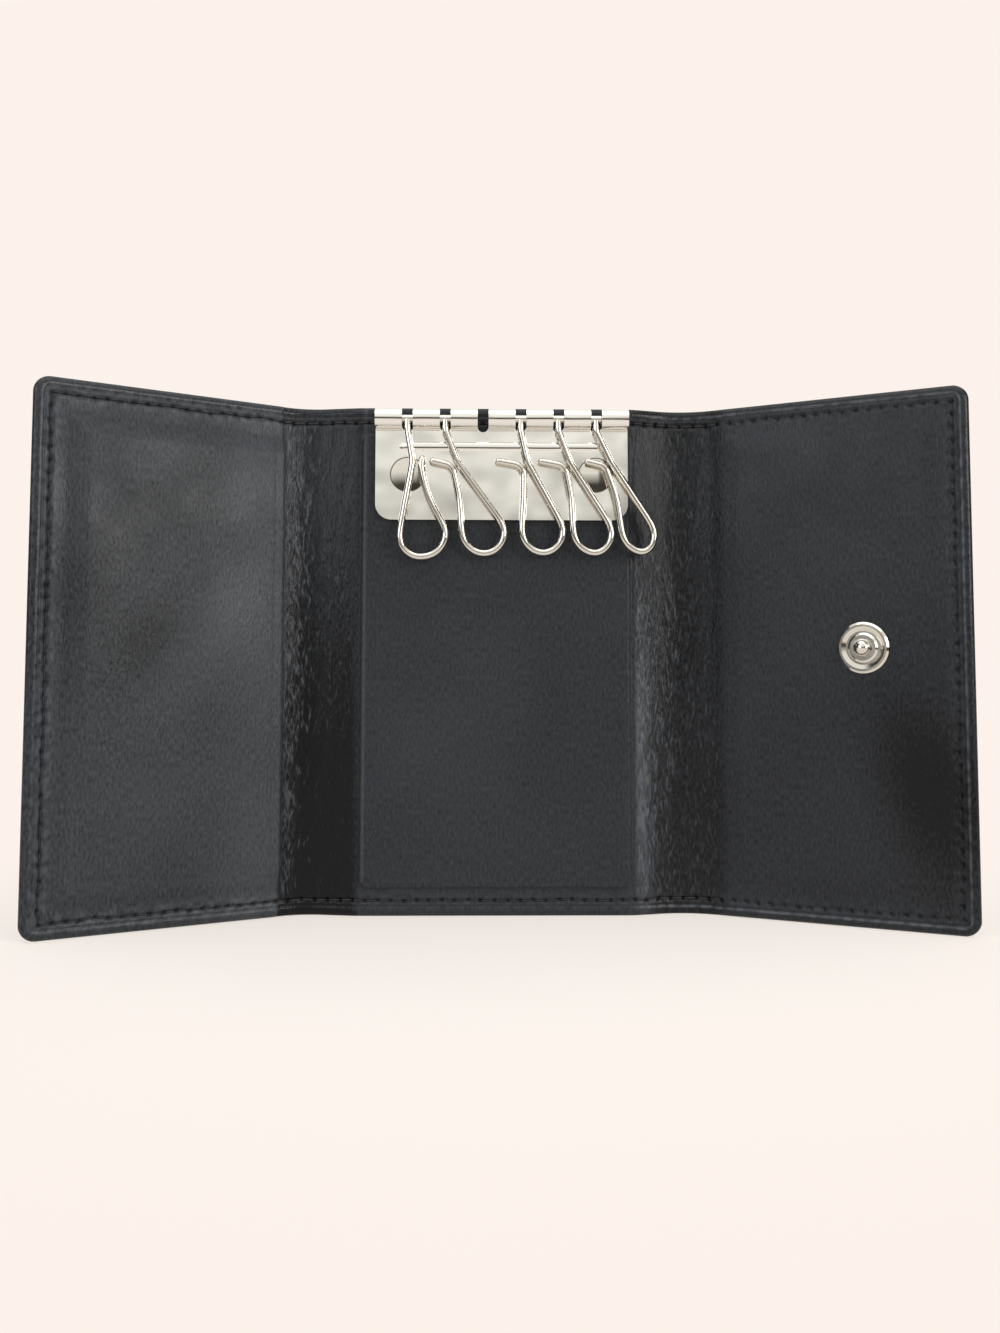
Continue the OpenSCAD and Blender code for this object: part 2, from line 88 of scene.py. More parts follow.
def add(tree: Tree, kind: str, inputs: Inputs | None = None, **settings) -> bpy.types.Node:
    """Adds one shader node with its settings, values and links.

    Args:
        tree: node tree that gets the node.
        kind: the node's type name after "ShaderNode".
        inputs: socket name or number to a value, or to the output socket that feeds it.
        settings: the node's own properties.
    Returns:
        The new node.
    """
    node = tree.nodes.new(f"ShaderNode{kind}")
    for name, value in settings.items():
        setattr(node, name, value)
    for socket, value in (inputs or {}).items():
        if isinstance(value, Socket):
            tree.links.new(value, node.inputs[socket])
        else:
            node.inputs[socket].default_value = value
    return node


# Curves


def smoothstep(x: Array) -> Array:
    """Ramp 3t^2 - 2t^3 of x, held at 0 below 0 and at 1 above 1."""
    t = np.clip(x, 0, 1)
    return t * t * (3 - 2 * t)


def rise(x: Array, start: float, width: float) -> Array:
    """Smooth ramp of x from 0 at start up to 1 one width further on."""
    return smoothstep((x - start) / width)


def fall(x: Array, end: float, width: float) -> Array:
    """Smooth ramp of x from 1 down to 0 at end, over one width."""
    return smoothstep((end - x) / width)


def bell(x: Array, middle: float | Array, width: float | Array) -> Array:
    """Bell curve exp(-t^2) of the distance t from the middle, in widths."""
    return np.exp(-(((x - middle) / width) ** 2))


def quarter_round(x: Array) -> Array:
    """Quarter of a circle: sqrt(1 - (1 - x)^2), from 0 at 0 to 1 at 1, and held there."""
    t = np.clip(x, 0, 1)
    return np.sqrt(np.maximum(1 - (1 - t) ** 2, 0))


def ripples(u: Array, z: Array, seed: int, across: tuple[float, float], along: tuple[float, float],
            count: int) -> Array:
    """Smooth noise: the sum of sine waves of random direction and phase, of unit spread.

    Args:
        u: places across the folds.
        z: places along the folds.
        seed: start of the random draws.
        across: least and most waves per millimetre across the folds.
        along: least and most waves per millimetre along the folds.
        count: number of waves.
    Returns:
        Noise of the shape of u and z.
    """
    rng = np.random.default_rng(seed)
    ku = rng.uniform(*across, count)
    kz = rng.uniform(*along, count) * rng.choice([-1, 1], count)
    phase = rng.uniform(0, 2 * np.pi, count)
    total = np.zeros(np.broadcast(u, z).shape)
    for wave_u, wave_z, start in zip(ku, kz, phase):
        total += np.sin(2 * np.pi * (wave_u * u + wave_z * z) + start)
    return total / math.sqrt(count / 2)


def unit(ways: Array) -> Array:
    """Ways of length one, one a row."""
    return ways / np.linalg.norm(ways, axis=1)[:, None]


def circle(sides: int) -> tuple[Array, Array]:
    """Cosines and sines of even steps round a circle."""
    turn = np.linspace(0, 2 * np.pi, sides + 1)[:-1]
    return np.cos(turn), np.sin(turn)


def lengths(points: Array) -> Array:
    """Length of a line of points up to each of them."""
    return np.r_[0, np.cumsum(np.linalg.norm(np.diff(points, axis=0), axis=1))]


def along_line(at: Array, marks: Array, points: Array) -> Array:
    """Points of a flat line at the marks asked for, from its own marks and points."""
    return np.c_[np.interp(at, marks, points[:, 0]), np.interp(at, marks, points[:, 1])]


def soften(line: Array, width: float, step: float) -> Array:
    """Smooths a flat line of even steps by a bell curve.

    Both ends are first made longer in their own direction, so that they stay in place.

    Args:
        line: points, one a row.
        width: spread of the bell curve.
        step: distance between points.
    Returns:
        As many points.
    """
    reach = int(4 * width / step)
    weights = np.exp(-0.5 * (np.arange(-reach, reach + 1) * step / width) ** 2)
    weights /= weights.sum()
    before = line[0] + (line[1] - line[0]) * np.arange(-reach, 0)[:, None]
    after = line[-1] + (line[-1] - line[-2]) * np.arange(1, reach + 1)[:, None]
    longer = np.r_[before, line, after]
    return np.c_[np.convolve(longer[:, 0], weights, "valid"), np.convolve(longer[:, 1], weights, "valid")]


class Side(Enum):
    """Which face of the leather a piece or a stitch belongs to."""

    INNER = 1
    OUTER = -1


# Finishes


@dataclass(frozen=True)
class Leather:
    """Vegetable-tanned cowhide, dyed black, waxed and pressed smooth.

    Under soft light it is a deep neutral grey with a broad sheen, finely pored, with
    duller and more polished places from handling.
    """

    name: str
    shade: str
    worn_and_lit_shade: str
    dull: float = 0.46
    polished: float = 0.30
    painted: float = 0.24
    creased: float = 0.30
    fleck: float = 0.14
    specular: float = 0.18
    pore: float = 0.40
    pore_depth: float = 0.09
    fibre_depth: float = 0.12

    def material(self) -> Material:
        """Builds the node material on the skin's own flat coordinates."""
        made = bpy.data.materials.new(self.name)
        made.use_nodes = True
        tree = made.node_tree
        tree.nodes.clear()
        flat = add(tree, "Attribute", attribute_name="flat").outputs["Vector"]
        rub_and_painted_light = add(tree, "Attribute", attribute_name="rub_and_painted_light").outputs["Fac"]
        crease = add(tree, "Attribute", attribute_name="crease").outputs["Fac"]
        rim = add(tree, "Attribute", attribute_name="rim").outputs["Fac"]
        cloud = add(tree, "TexNoise", {"Vector": flat, "Scale": 70.0, "Detail": 4.0}).outputs["Fac"]
        tall = add(tree, "Mapping", {"Vector": flat, "Scale": (1.0, 0.4, 1.0)}).outputs[0]
        mottle = add(tree, "TexNoise", {"Vector": tall, "Scale": 2300.0, "Detail": 3.0}).outputs["Fac"]
        flecks = add(tree, "MapRange", {0: mottle, 1: 0.25, 2: 0.75, 3: -self.fleck, 4: self.fleck})
        values = {0: flecks.outputs[0], 1: rub_and_painted_light}
        speck = add(tree, "Math", values, operation="ADD", use_clamp=True).outputs[0]
        shade = add(tree, "Mix", {0: speck, 6: linear(self.shade), 7: linear(self.worn_and_lit_shade)},
                    data_type="RGBA").outputs[2]
        gloss = add(tree, "MapRange", {0: cloud, 1: 0.35, 2: 0.65, 3: self.polished, 4: self.dull})
        gloss = add(tree, "Mix", {0: crease, 2: gloss.outputs[0], 3: self.creased})
        gloss = add(tree, "Mix", {0: rim, 2: gloss.outputs[0], 3: self.painted})
        pores = add(tree, "TexNoise", {"Vector": tall, "Scale": 1.0 / (self.pore * MM),
                                       "Detail": 1.0}).outputs["Fac"]
        stretch = add(tree, "Mapping", {"Vector": flat, "Scale": (1.0, 0.22, 1.0)}).outputs[0]
        fibre = add(tree, "TexNoise", {"Vector": stretch, "Scale": 1900.0, "Detail": 2.0}).outputs["Fac"]
        lay = add(tree, "Math", {0: crease, 1: 0.6, 2: 0.4}, operation="MULTIPLY_ADD").outputs[0]
        fibre = add(tree, "Math", {0: fibre, 1: lay}, operation="MULTIPLY").outputs[0]
        first = add(tree, "Bump", {"Height": pores, "Strength": 0.7, "Distance": self.pore_depth * MM})
        second = add(tree, "Bump", {"Height": fibre, "Strength": 0.9,
                                    "Distance": self.fibre_depth * MM, "Normal": first.outputs[0]})
        shader = add(tree, "BsdfPrincipled",
                     {"Base Color": shade, "Roughness": gloss.outputs[0], "Normal": second.outputs[0]})
        shader.inputs["Specular IOR Level"].default_value = self.specular
        add(tree, "OutputMaterial", {"Surface": shader.outputs[0]})
        return made


@dataclass(frozen=True)
class Metal:
    """Steel plated with bright nickel: a warm mirror with fine handling marks.

    Sheet is a little wavy and duller than wire, and the joint round the heads of its
    rivets is darkened, partly dirt and partly a painted contact shadow.
    """

    name: str
    shade: str
    smooth: float = 0.07
    rubbed: float = 0.16
    mark: float = 6.0
    mark_depth: float = 0.004
    rivet_at: tuple[float, float] | None = None
    rivet_middle: float = 1.1
    rivet_r: float = 3.3

    def material(self) -> Material:
        """Builds the node material on object coordinates."""
        made = bpy.data.materials.new(self.name)
        made.use_nodes = True
        tree = made.node_tree
        tree.nodes.clear()
        place = add(tree, "TexCoord").outputs["Object"]
        haze = add(tree, "TexNoise", {"Vector": place, "Scale": 1000.0 / self.mark, "Detail": 5.0})
        rough = add(tree, "MapRange", {0: haze.outputs["Fac"], 1: 0.35, 2: 0.7, 3: self.smooth,
                                       4: self.rubbed})
        dents = add(tree, "TexNoise", {"Vector": place, "Scale": 420.0, "Detail": 2.0})
        bump = add(tree, "Bump", {"Height": dents.outputs["Fac"], "Strength": 0.5,
                                  "Distance": self.mark_depth * MM})
        shader = add(tree, "BsdfPrincipled", {"Roughness": rough.outputs[0],
                                              "Normal": bump.outputs[0]})
        shader.inputs["Base Color"].default_value = linear(self.shade)
        shader.inputs["Metallic"].default_value = 1.0
        if self.rivet_at:
            parts = add(tree, "SeparateXYZ", {0: place}).outputs
            aside = add(tree, "Math", {0: parts["X"], 1: self.rivet_middle * MM}, operation="SUBTRACT")
            aside = add(tree, "Math", {0: aside.outputs[0]}, operation="ABSOLUTE").outputs[0]
            spot = add(tree, "CombineXYZ", {"X": aside, "Z": parts["Z"]}).outputs[0]
            centre = (self.rivet_at[0] * MM, 0.0, self.rivet_at[1] * MM)
            away = add(tree, "VectorMath", {0: spot, 1: centre}, operation="DISTANCE").outputs["Value"]
            # Dirt and painted contact shadow: a dark ring in the joint round each rivet head.
            dirt_and_shadow = add(tree, "MapRange", {0: away, 1: (self.rivet_r + 0.08) * MM,
                                          2: (self.rivet_r + 0.3) * MM, 3: 1.0, 4: 0.0},
                       interpolation_type="SMOOTHSTEP").outputs[0]
            waves = add(tree, "TexNoise", {"Vector": place, "Scale": 110.0, "Detail": 1.0}).outputs["Fac"]
            wavy = add(tree, "Bump", {"Height": waves, "Strength": 1.0, "Distance": 0.32 * MM,
                                      "Normal": bump.outputs[0]}).outputs[0]
            shade = add(tree, "Mix", {0: dirt_and_shadow, 6: linear(self.shade), 7: linear("#4a4338")},
                        data_type="RGBA").outputs[2]
            tree.links.new(shade, shader.inputs["Base Color"])
            tree.links.new(wavy, shader.inputs["Normal"])
        add(tree, "OutputMaterial", {"Surface": shader.outputs[0]})
        return made


@dataclass(frozen=True)
class Thread:
    """Waxed black polyester sewing thread, with a dull sheen along its lay."""

    name: str = "waxed polyester thread"
    shade: str = "#0c0c0d"
    rough: float = 0.48

    def material(self) -> Material:
        """Builds the node material on object coordinates."""
        made = bpy.data.materials.new(self.name)
        made.use_nodes = True
        tree = made.node_tree
        tree.nodes.clear()
        place = add(tree, "TexCoord").outputs["Object"]
        lay = add(tree, "TexNoise", {"Vector": place, "Scale": 4000.0, "Detail": 1.0})
        bump = add(tree, "Bump", {"Height": lay.outputs["Fac"], "Strength": 0.5, "Distance": 0.03 * MM})
        shader = add(tree, "BsdfPrincipled", {"Normal": bump.outputs[0]})
        shader.inputs["Base Color"].default_value = linear(self.shade)
        shader.inputs["Roughness"].default_value = self.rough
        add(tree, "OutputMaterial", {"Surface": shader.outputs[0]})
        return made


@dataclass(frozen=True)
class Board:
    """Grey pressed board that stiffens a panel, hidden between the skins."""

    name: str = "pressed stiffening board"
    shade: str = "#8d7f68"

    def material(self) -> Material:
        """Builds the node material on object coordinates."""
        made = bpy.data.materials.new(self.name)
        made.use_nodes = True
        tree = made.node_tree
        tree.nodes.clear()
        place = add(tree, "TexCoord").outputs["Object"]
        pulp = add(tree, "TexNoise", {"Vector": place, "Scale": 900.0, "Detail": 4.0})
        shade = add(tree, "Mix", {0: pulp.outputs["Fac"], 6: linear(self.shade),
                                  7: linear("#75684f")}, data_type="RGBA")
        shader = add(tree, "BsdfPrincipled", {"Base Color": shade.outputs[2]})
        shader.inputs["Roughness"].default_value = 0.9
        add(tree, "OutputMaterial", {"Surface": shader.outputs[0]})
        return made


# The case's section and skin


@dataclass(frozen=True)
class Half:
    """Sizes of one half of the section: side is -1 at the left and 1 at the right."""

    name: str
    side: int
    reach: float
    spine: float
    bow: float
    spine_angle: float
    wing: float
    wing_angle: float


@dataclass
class Section:
    """The line of the inner skin seen from above, as the case stands.

    u runs along it from the left wing's free edge to the right one's, with 0 in the
    middle of the centre panel. The folds have the places and angles of the frame.
    """

    left: Half = Half("left", -1, 33.4, 8.1, 0.9, 8.5, 49.4, 33)
    right: Half = Half("right", 1, 31, 13.3, 1.8, 5.2, 48.1, 30)
    flat_half: float = 27.2
    drop: float = 1.2
    softness: float = 0.9
    step: float = 0.05
    marks: dict[str, float] = field(default_factory=dict)

    def __post_init__(self) -> None:
        """Works out the softened line as arrays of u, of its points and of its normals."""
        left_u, left_xy = self.half(self.left)
        right_u, right_xy = self.half(self.right)
        u = np.r_[left_u[::-1], right_u[1:]]
        xy = np.r_[left_xy[::-1], right_xy[1:]]
        self.u = np.arange(u[0], u[-1], self.step)
        self.line = soften(along_line(self.u, u, xy), self.softness, self.step)
        run = unit(np.gradient(self.line, axis=0))
        self.normal = np.c_[run[:, 1], -run[:, 0]]

    def half(self, half: Half) -> tuple[Array, Array]:
        """Works out one half from the middle outwards.

        The line is straight over the flat strip and down to the fold. It bows back over
        the spine as sagitta times one minus the square of the place, and runs straight
        along the wing.

        Args:
            half: sizes of the half.
        Returns:
            Places along the section, and the points.
        """
        turn = math.radians(half.spine_angle)
        chord = np.linspace(0, half.spine, 60)[1:]
        back = half.bow * (1 - (2 * chord / half.spine - 1) ** 2)
        arc = np.c_[half.reach + chord * math.cos(turn) + back * math.sin(turn),
                    self.drop - chord * math.sin(turn) + back * math.cos(turn)]
        turn = math.radians(half.wing_angle)
        free = arc[-1] + half.wing * np.array([math.cos(turn), -math.sin(turn)])
        points = np.r_[[[0, 0], [self.flat_half, 0], [half.reach, self.drop]], arc, [free]]
        length = lengths(points)
        for name, at in (("fold", 2), ("hinge", -2), ("free", -1)):
            self.marks[f"{half.name}_{name}"] = half.side * length[at]
        return half.side * length, points * np.array([half.side, 1])

    def place(self, u: Array, z: Array, height: Array) -> Array:
        """Points of the skin: the line at u, moved by height along its inner normal.

        Args:
            u: places along the line.
            z: heights above the ground.
            height: heights over the line, toward the inner side.
        Returns:
            Points in millimetres, in the shared frame.
        """
        columns = (*self.line.T, *self.normal.T)
        x, y, normal_x, normal_y = (np.interp(u, self.u, column) for column in columns)
        return np.stack([x + height * normal_x, y + height * normal_y, np.broadcast_to(z, u.shape)], -1)


@dataclass
class Skin:
    """Heights of the leather's inner and outer face over the section line."""

    section: Section
    case_h: float = 100
    corner_r: float = 3
    thickness: float = 1.5
    raised: float = 0.6
    border_h: float = 0.35
    pocket_t: float = 0.5
    pocket_slot: float = 0.3
    pocket_ramp: float = 5.5
    pad_half: float = 26.7
    inset: float = 5.2
    field_gap: float = 1
    edge_w: float = 1.15
    seam_inset: float = 3.05
    channel: float = 0.12
    pitch: float = 2.5
    hole_r: float = 0.42
    hole_depth: float = 0.42
    valley: float = -0.1
    ridge_h: float = 0.16
    fold_h: float = 0.02
    inner_seed: int = 11
    outer_seed: int = 57

    def __post_init__(self) -> None:
        """Names the places of the case along u."""
        marks = self.section.marks
        self.left_free, self.right_free = marks["left_free"], marks["right_free"]
        self.left_hinge, self.right_hinge = marks["left_hinge"], marks["right_hinge"]
        self.left_fold, self.right_fold = marks["left_fold"], marks["right_fold"]
        self.pocket_edge = self.left_hinge - self.field_gap
        self.holes = self.seam_holes()

    def inside(self, u: Array, z: Array, low: float, high: float, inset: float, radius: float) -> Array:
        """Distance inside a rectangle with round corners, less than 0 outside it.

        Args:
            u: places along the section.
            z: heights.
            low: the rectangle's left side.
            high: its right side.
            inset: how far it ends short of the case's top and bottom.
            radius: radius of its corners.
        Returns:
            Distances of the shape of u and z.
        """
        qu = np.abs(u - (low + high) / 2) - ((high - low) / 2 - radius)
        qz = np.abs(z - self.case_h / 2) - (self.case_h / 2 - inset - radius)
        outside = np.hypot(np.maximum(qu, 0), np.maximum(qz, 0))
        return radius - outside - np.minimum(np.maximum(qu, qz), 0)

    def edge_distance(self, u: Array, z: Array) -> Array:
        """Distance to the rounded outline of the opened case, from the inside."""
        return self.inside(u, z, self.left_free, self.right_free, 0, self.corner_r)

    def field(self, u: Array, z: Array, low: float, high: float, radius: float, ramp: float) -> Array:
        """Raised field between low and high: 0 outside, and 1 one ramp inside its outline."""
        return smoothstep(self.inside(u, z, low, high, self.inset, radius) / ramp)

    def seam_holes(self) -> Array:
        """Needle holes along the seam's rectangle, as a sewer spaces them by eye.

        Returns:
            Holes, one a row.
        """
        left, right = self.left_free + self.seam_inset, self.right_free - self.seam_inset
        low, high = self.seam_inset, self.case_h - self.seam_inset
        corners = np.array([[left, low], [right, low], [right, high], [left, high], [left, low]])
        runs = []
        for start, end in zip(corners[:-1], corners[1:]):
            count = round(np.linalg.norm(end - start) / self.pitch)
            runs.append(start + (end - start) * np.linspace(0, 1, count + 1)[:-1, None])
        holes = np.concatenate(runs)
        return holes + np.random.default_rng(3).normal(0, 0.1, holes.shape)

    def seam(self, u: Array, z: Array) -> Array:
        """Depth of the sewing: a shallow channel with raised lips, and a pit at each hole.

        A pit is a bell curve of the distance to the nearest hole. The holes are taken a
        few at a time, and only for the places beside the seam.

        Args:
            u: places across the folds.
            z: heights.
        Returns:
            Depth at each place.
        """
        away = self.edge_distance(u, z) - self.seam_inset
        depth = self.channel * bell(away, 0, 0.4) - 0.03 * bell(np.abs(away), 0.75, 0.25)
        near = np.abs(away) < 3 * self.hole_r
        if near.any():
            places = np.c_[u[near], z[near]]
            squares = np.full(len(places), 9)
            for begin in range(0, len(self.holes), 32):
                gaps = places[:, None] - self.holes[None, begin : begin + 32]
                squares = np.minimum(squares, (gaps**2).sum(axis=2).min(axis=1))
            depth[near] += self.hole_depth * np.exp(-squares / self.hole_r**2)
        return depth

    def crease_share(self, u: Array) -> Array:
        """How much a place is worn by bending: 1 over the spines, 0 on the panels.

        Args:
            u: places across the folds.
        Returns:
            Share at each place.
        """
        left = rise(u, self.pocket_edge + 0.2, 1.2) * fall(u, -self.pad_half - 0.5, 2)
        right = rise(u, self.pad_half + 0.3, 1.2) * fall(u, self.right_hinge + 1.5, 4)
        return np.maximum(left, right)

    def ridges(self, u: Array, z: Array, seed: int) -> Array:
        """Fine ridges along the folds, from -0.1 in the valleys to 0.9 on top.

        Each ridge is a short leaning stroke: a bell curve across it, times a bell curve
        along it. They crowd beside the pocket's edge and in the strip beside the pad.

        Args:
            u: places across the folds.
            z: heights.
            seed: start of the random draws.
        Returns:
            Height at each place, of the ridges alone.
        """
        rng = np.random.default_rng(seed)
        crowd, strip, rest = 640, 760, 1000
        low_z, high_z = 4, 96
        beside = self.pocket_edge + 0.5 + rng.exponential(1.8, crowd) % 6
        along_pad = 27.3 + rng.exponential(2.6, strip) % 9
        spread = np.where(rng.random(rest) < 0.4, rng.uniform(self.pocket_edge, -28, rest),
                          rng.uniform(28, self.right_hinge, rest))
        middle_u = np.r_[beside, along_pad, spread]
        middle_z = np.r_[rng.uniform(low_z, high_z, crowd), low_z + 70 * rng.beta(1.2, 1.5, strip),
                         rng.uniform(low_z, high_z, rest)]
        count = len(middle_u)
        tall, wide = rng.uniform(0.35, 1.1, count), rng.uniform(0.1, 0.17, count)
        lean = rng.normal(0, 0.25, count)
        much = rng.uniform(0.4, 1, count) * np.r_[np.ones(crowd), np.full(strip, 0.9), np.full(rest, 0.45)]
        worn = self.crease_share(u) > 0
        order = np.argsort(z[worn])
        at_u, at_z = u[worn][order], z[worn][order]
        total = np.full(at_u.shape, self.valley)
        starts = np.searchsorted(at_z, middle_z - 2.4 * tall)
        stops = np.searchsorted(at_z, middle_z + 2.4 * tall)
        for each in range(count):
            near = slice(starts[each], stops[each])
            up = at_z[near] - middle_z[each]
            across = (at_u[near] - middle_u[each] - lean[each] * up) / wide[each]
            total[near] += much[each] * np.exp(-(across**2) - (up / tall[each]) ** 2)
        back = np.empty(at_u.shape)
        back[order] = np.minimum(total, 1 + self.valley)
        every = np.full(u.shape, self.valley)
        every[worn] = back
        return every

    def worked(self, u: Array, z: Array, seed: int, panel_seed: int) -> Array:
        """Relief of the leather itself: ridges and soft folds on the spines, faint waves elsewhere.

        Args:
            u: places across the folds.
            z: heights.
            seed: start of the creases' random draws.
            panel_seed: start of the waves' random draws.
        Returns:
            Height at each place.
        """
        share = self.crease_share(u)
        folds = self.fold_h * ripples(u, z, seed + 4, (0.12, 0.4), (0.02, 0.09), 16)
        creases = self.ridge_h * self.ridges(u, z, seed) + folds
        return share * creases + (1 - share) * self.panel_waves(u, z, panel_seed)

    def panel_waves(self, u: Array, z: Array, seed: int) -> Array:
        """Faint unevenness of a pressed panel, a few hundredths of a millimetre."""
        wide = 0.022 * ripples(u, z, seed, (0.01, 0.05), (0.01, 0.05), 16)
        return wide + 0.006 * ripples(u, z, seed + 1, (0.08, 0.3), (0.05, 0.2), 24)

    def bead(self, u: Array, z: Array) -> Array:
        """The line pressed beside the edge, which leaves a low bead along it."""
        away = self.edge_distance(u, z)
        return 0.06 * bell(away, 1.25, 0.4) - 0.13 * bell(away, 1.9, 0.17)

    def to_edge(self, u: Array, z: Array, height: Array) -> Array:
        """Draws a height in over the round edge, to the middle of the painted edge.

        The pocket makes the left wing thicker, so its edge's middle is higher.

        Args:
            u: places across the folds.
            z: heights.
            height: height of the face.
        Returns:
            Height with the round edge.
        """
        left = fall(u, self.pocket_edge, 0.6)
        middle = (-self.thickness + self.pocket_t * left) / 2
        return middle + (height - middle) * quarter_round(self.edge_distance(u, z) / self.edge_w)

    def inner(self, u: Array, z: Array) -> Array:
        """Inner face: fields over the boards, creases on the spines, seam and edge.

        Args:
            u: places across the folds.
            z: heights.
        Returns:
            Height at each place.
        """
        pad = self.field(u, z, -self.pad_half, self.pad_half, 2, 0.55)
        pad_top = self.field(u, z, -self.pad_half + 0.5, self.pad_half - 0.5, 1.5, 0.5)
        wing = self.field(u, z, self.right_hinge + self.field_gap, self.right_free - self.inset, 1.5, 4)
        low = self.field(u, z, self.left_free + self.inset + 0.5, self.pocket_edge, 1.5, 4.5)
        border = self.border_h * rise(u, self.right_hinge - 2, 4)
        height = self.raised * (pad + low) + border + (self.raised - self.border_h) * wing
        height = height + 0.05 * (pad - pad_top) + self.worked(u, z, self.inner_seed, 31)
        swell = 0.12 * bell(u, 28.4, 1.2) * fall(z, 62, 20)
        under_pocket = fall(u, self.pocket_edge, 0.3)
        sewn = (self.bead(u, z) - self.seam(u, z)) * (1 - under_pocket)
        return self.to_edge(u, z, height + swell + sewn - 0.06 * under_pocket)

    def outer(self, u: Array, z: Array) -> Array:
        """Outer face: creases over the spines, seam, bead and edge."""
        detail = self.worked(u, z, self.outer_seed, 71) + self.bead(u, z) - self.seam(u, z)
        return self.to_edge(u, z, -self.thickness - detail)

    def pocket_field(self, u: Array, z: Array) -> Array:
        """Rise of the pocket's field, which runs on past its open side.

        Args:
            u: places across the folds.
            z: heights.
        Returns:
            Rise at each place.
        """
        field_end = self.pocket_edge + 6
        share = self.field(u, z, self.left_free + self.inset, field_end, 1.5, self.pocket_ramp)
        return (self.raised + self.pocket_slot) * share

    def pocket_lip(self, u: Array) -> Array:
        """How far each face of the pocket panel is drawn in at its rounded open side."""
        return 0.5 * self.pocket_t * (1 - quarter_round((self.pocket_edge - u) / 0.25))

    def pocket_top(self, u: Array, z: Array) -> Array:
        """Outer side of the pocket panel: its sewn flange, its field and a pressed line.

        Args:
            u: places across the folds.
            z: heights.
        Returns:
            Height at each place.
        """
        line = 0.07 * bell(u, self.pocket_edge - 1.9, 0.2)
        line = line * rise(z, 4.6, 0.5) * fall(z, self.case_h - 4.6, 0.5)
        detail = self.panel_waves(u, z, 91) + self.bead(u, z) - self.seam(u, z) - line
        height = self.pocket_t + self.pocket_field(u, z) + detail
        return self.to_edge(u, z, height) - self.pocket_lip(u)

    def pocket_under(self, u: Array, z: Array) -> Array:
        """Inner side of the pocket panel, one leather thickness below its top."""
        return self.to_edge(u, z, self.pocket_field(u, z)) + self.pocket_lip(u)


# Meshes


def grid_faces(number: Array) -> Array:
    """Four-cornered faces of a grid of corner numbers."""
    return np.stack([number[:-1, :-1], number[1:, :-1], number[1:, 1:], number[:-1, 1:]], -1).reshape(-1, 4)


def tube_faces(count: int, rings: int, sides: int, flip: bool = False) -> list[list[int]]:
    """Faces of closed tubes: quads from ring to ring, and a cap at either end.

    Args:
        count: number of tubes, whose corners follow one another.
        rings: rings of each tube.
        sides: corners of each ring.
        flip: True where the rings' corners run the other way round.
    Returns:
        Corner numbers of each face, in order outward.
    """
    number = np.arange(count * rings * sides).reshape(count, rings, sides)
    ahead = np.roll(number, -1, axis=2)
    quads = np.stack([number[:, :-1], ahead[:, :-1], ahead[:, 1:], number[:, 1:]], -1).reshape(-1, 4)
    caps = np.r_[number[:, 0, ::-1], number[:, -1]]
    if flip:
        quads, caps = quads[:, ::-1], caps[:, ::-1]
    return quads.tolist() + caps.tolist()


def write_mesh(name: str, points: Array, faces: list[list[int]], material: Material) -> Object:
    """Makes an object of points in millimetres, smoothly shaded, at the origin.

    Args:
        name: the piece's name.
        points: corner places in millimetres.
        faces: lists of corner numbers.
        material: its finish.
    Returns:
        The object, linked to the scene.
    """
    mesh = bpy.data.meshes.new(name)
    mesh.from_pydata((points * MM).tolist(), [], faces)
    mesh.polygons.foreach_set("use_smooth", np.ones(len(mesh.polygons), bool))
    mesh.materials.append(material)
    mesh.update()
    made = bpy.data.objects.new(name, mesh)
    bpy.context.scene.collection.objects.link(made)
    return made


@dataclass(frozen=True)
class Cut:
    """A piece of the skin between two places along the section, and how it moves."""

    name: str
    start: float
    end: float
    bodies: tuple[str, ...]
    replaces: tuple[str, ...]
    spacing: float = 0.33
    turn_start: float = 0
    turn_end: float = 0


@dataclass(frozen=True)
class Patch:
    """A patch where the tone changes, for wear and for painted light and shade: a bell curve across it,
    times a bell curve up it.

    Its upright axis leans aside by lean millimetres for each one up.
    """

    u: float
    z: float
    wide: float
    tall: float
    much: float
    lean: float = 0

    def on(self, u: Array, z: Array) -> Array:
        """How much it changes each place."""
        across = bell(u, self.u + self.lean * (z - self.z), self.wide)
        return self.much * across * bell(z, self.z, self.tall)


@dataclass(frozen=True)
class WearAndPaintedLight:
    """How much lighter or darker each place is painted, as a share of the way to the worn and lit shade:
    wear, and painted light and shade.

    The patches lie at distances from the left free edge, from the middle, and from the
    right free edge.
    """

    ground: float = 0.11
    clouds: float = 0.03
    pocket: float = 0.13
    # painted sheen, lighter toward the pocket's open side
    pocket_open_side: float = 0.13
    # painted light on the pocket's ramp, which turns away from the key lamp
    pocket_ramp: float = 0.08
    pad: float = 0.115
    # painted highlight: a thin light line down the pad's left edge
    pad_line: float = 0.3
    wing: float = 0.09
    # painted sheen on the lower part of the strip beside the pad
    strip: float = 0.36
    # ridge tops lighter, partly wear and partly a painted highlight; valleys get painted shade
    ridges: float = 0.65
    # the left spine is painted darker from its top to its foot: painted shade
    spine_top: float = 0.12
    spine_foot: float = -0.17
    border: float = 0.24
    # painted highlight: a thin light line along the right wing's rim
    rim: float = 0.8
    # painted shade in the needle holes
    pits: float = -0.18
    outer_ground: float = 0.12
    outer_clouds: float = 0.05
    outer_border: float = 0.08
    # patches of painted sheen, lighter and darker, on the pocket's field
    sheen_patches: tuple[Patch, ...] = (
        Patch(22, 88, 9, 6, 0.1, 0.5), Patch(38, 60, 8, 9, 0.15, 0.5),
        Patch(30, 48, 7, 9, 0.13, 0.5), Patch(17, 16, 12, 12, 0.09, 0.5),
        Patch(23, 55, 6, 9, -0.13, 0.5), Patch(12, 66, 7, 14, -0.09, 0.5))
    pad_clouds: tuple[Patch, ...] = (Patch(-9, 30, 14, 16, 0.09), Patch(-4, 52, 16, 12, 0.04))
    # painted dark reflection on the right wing's lower corner
    dark_corner_reflection: Patch = Patch(-7.5, 26, 9.5, 18, 1.3, -0.25)


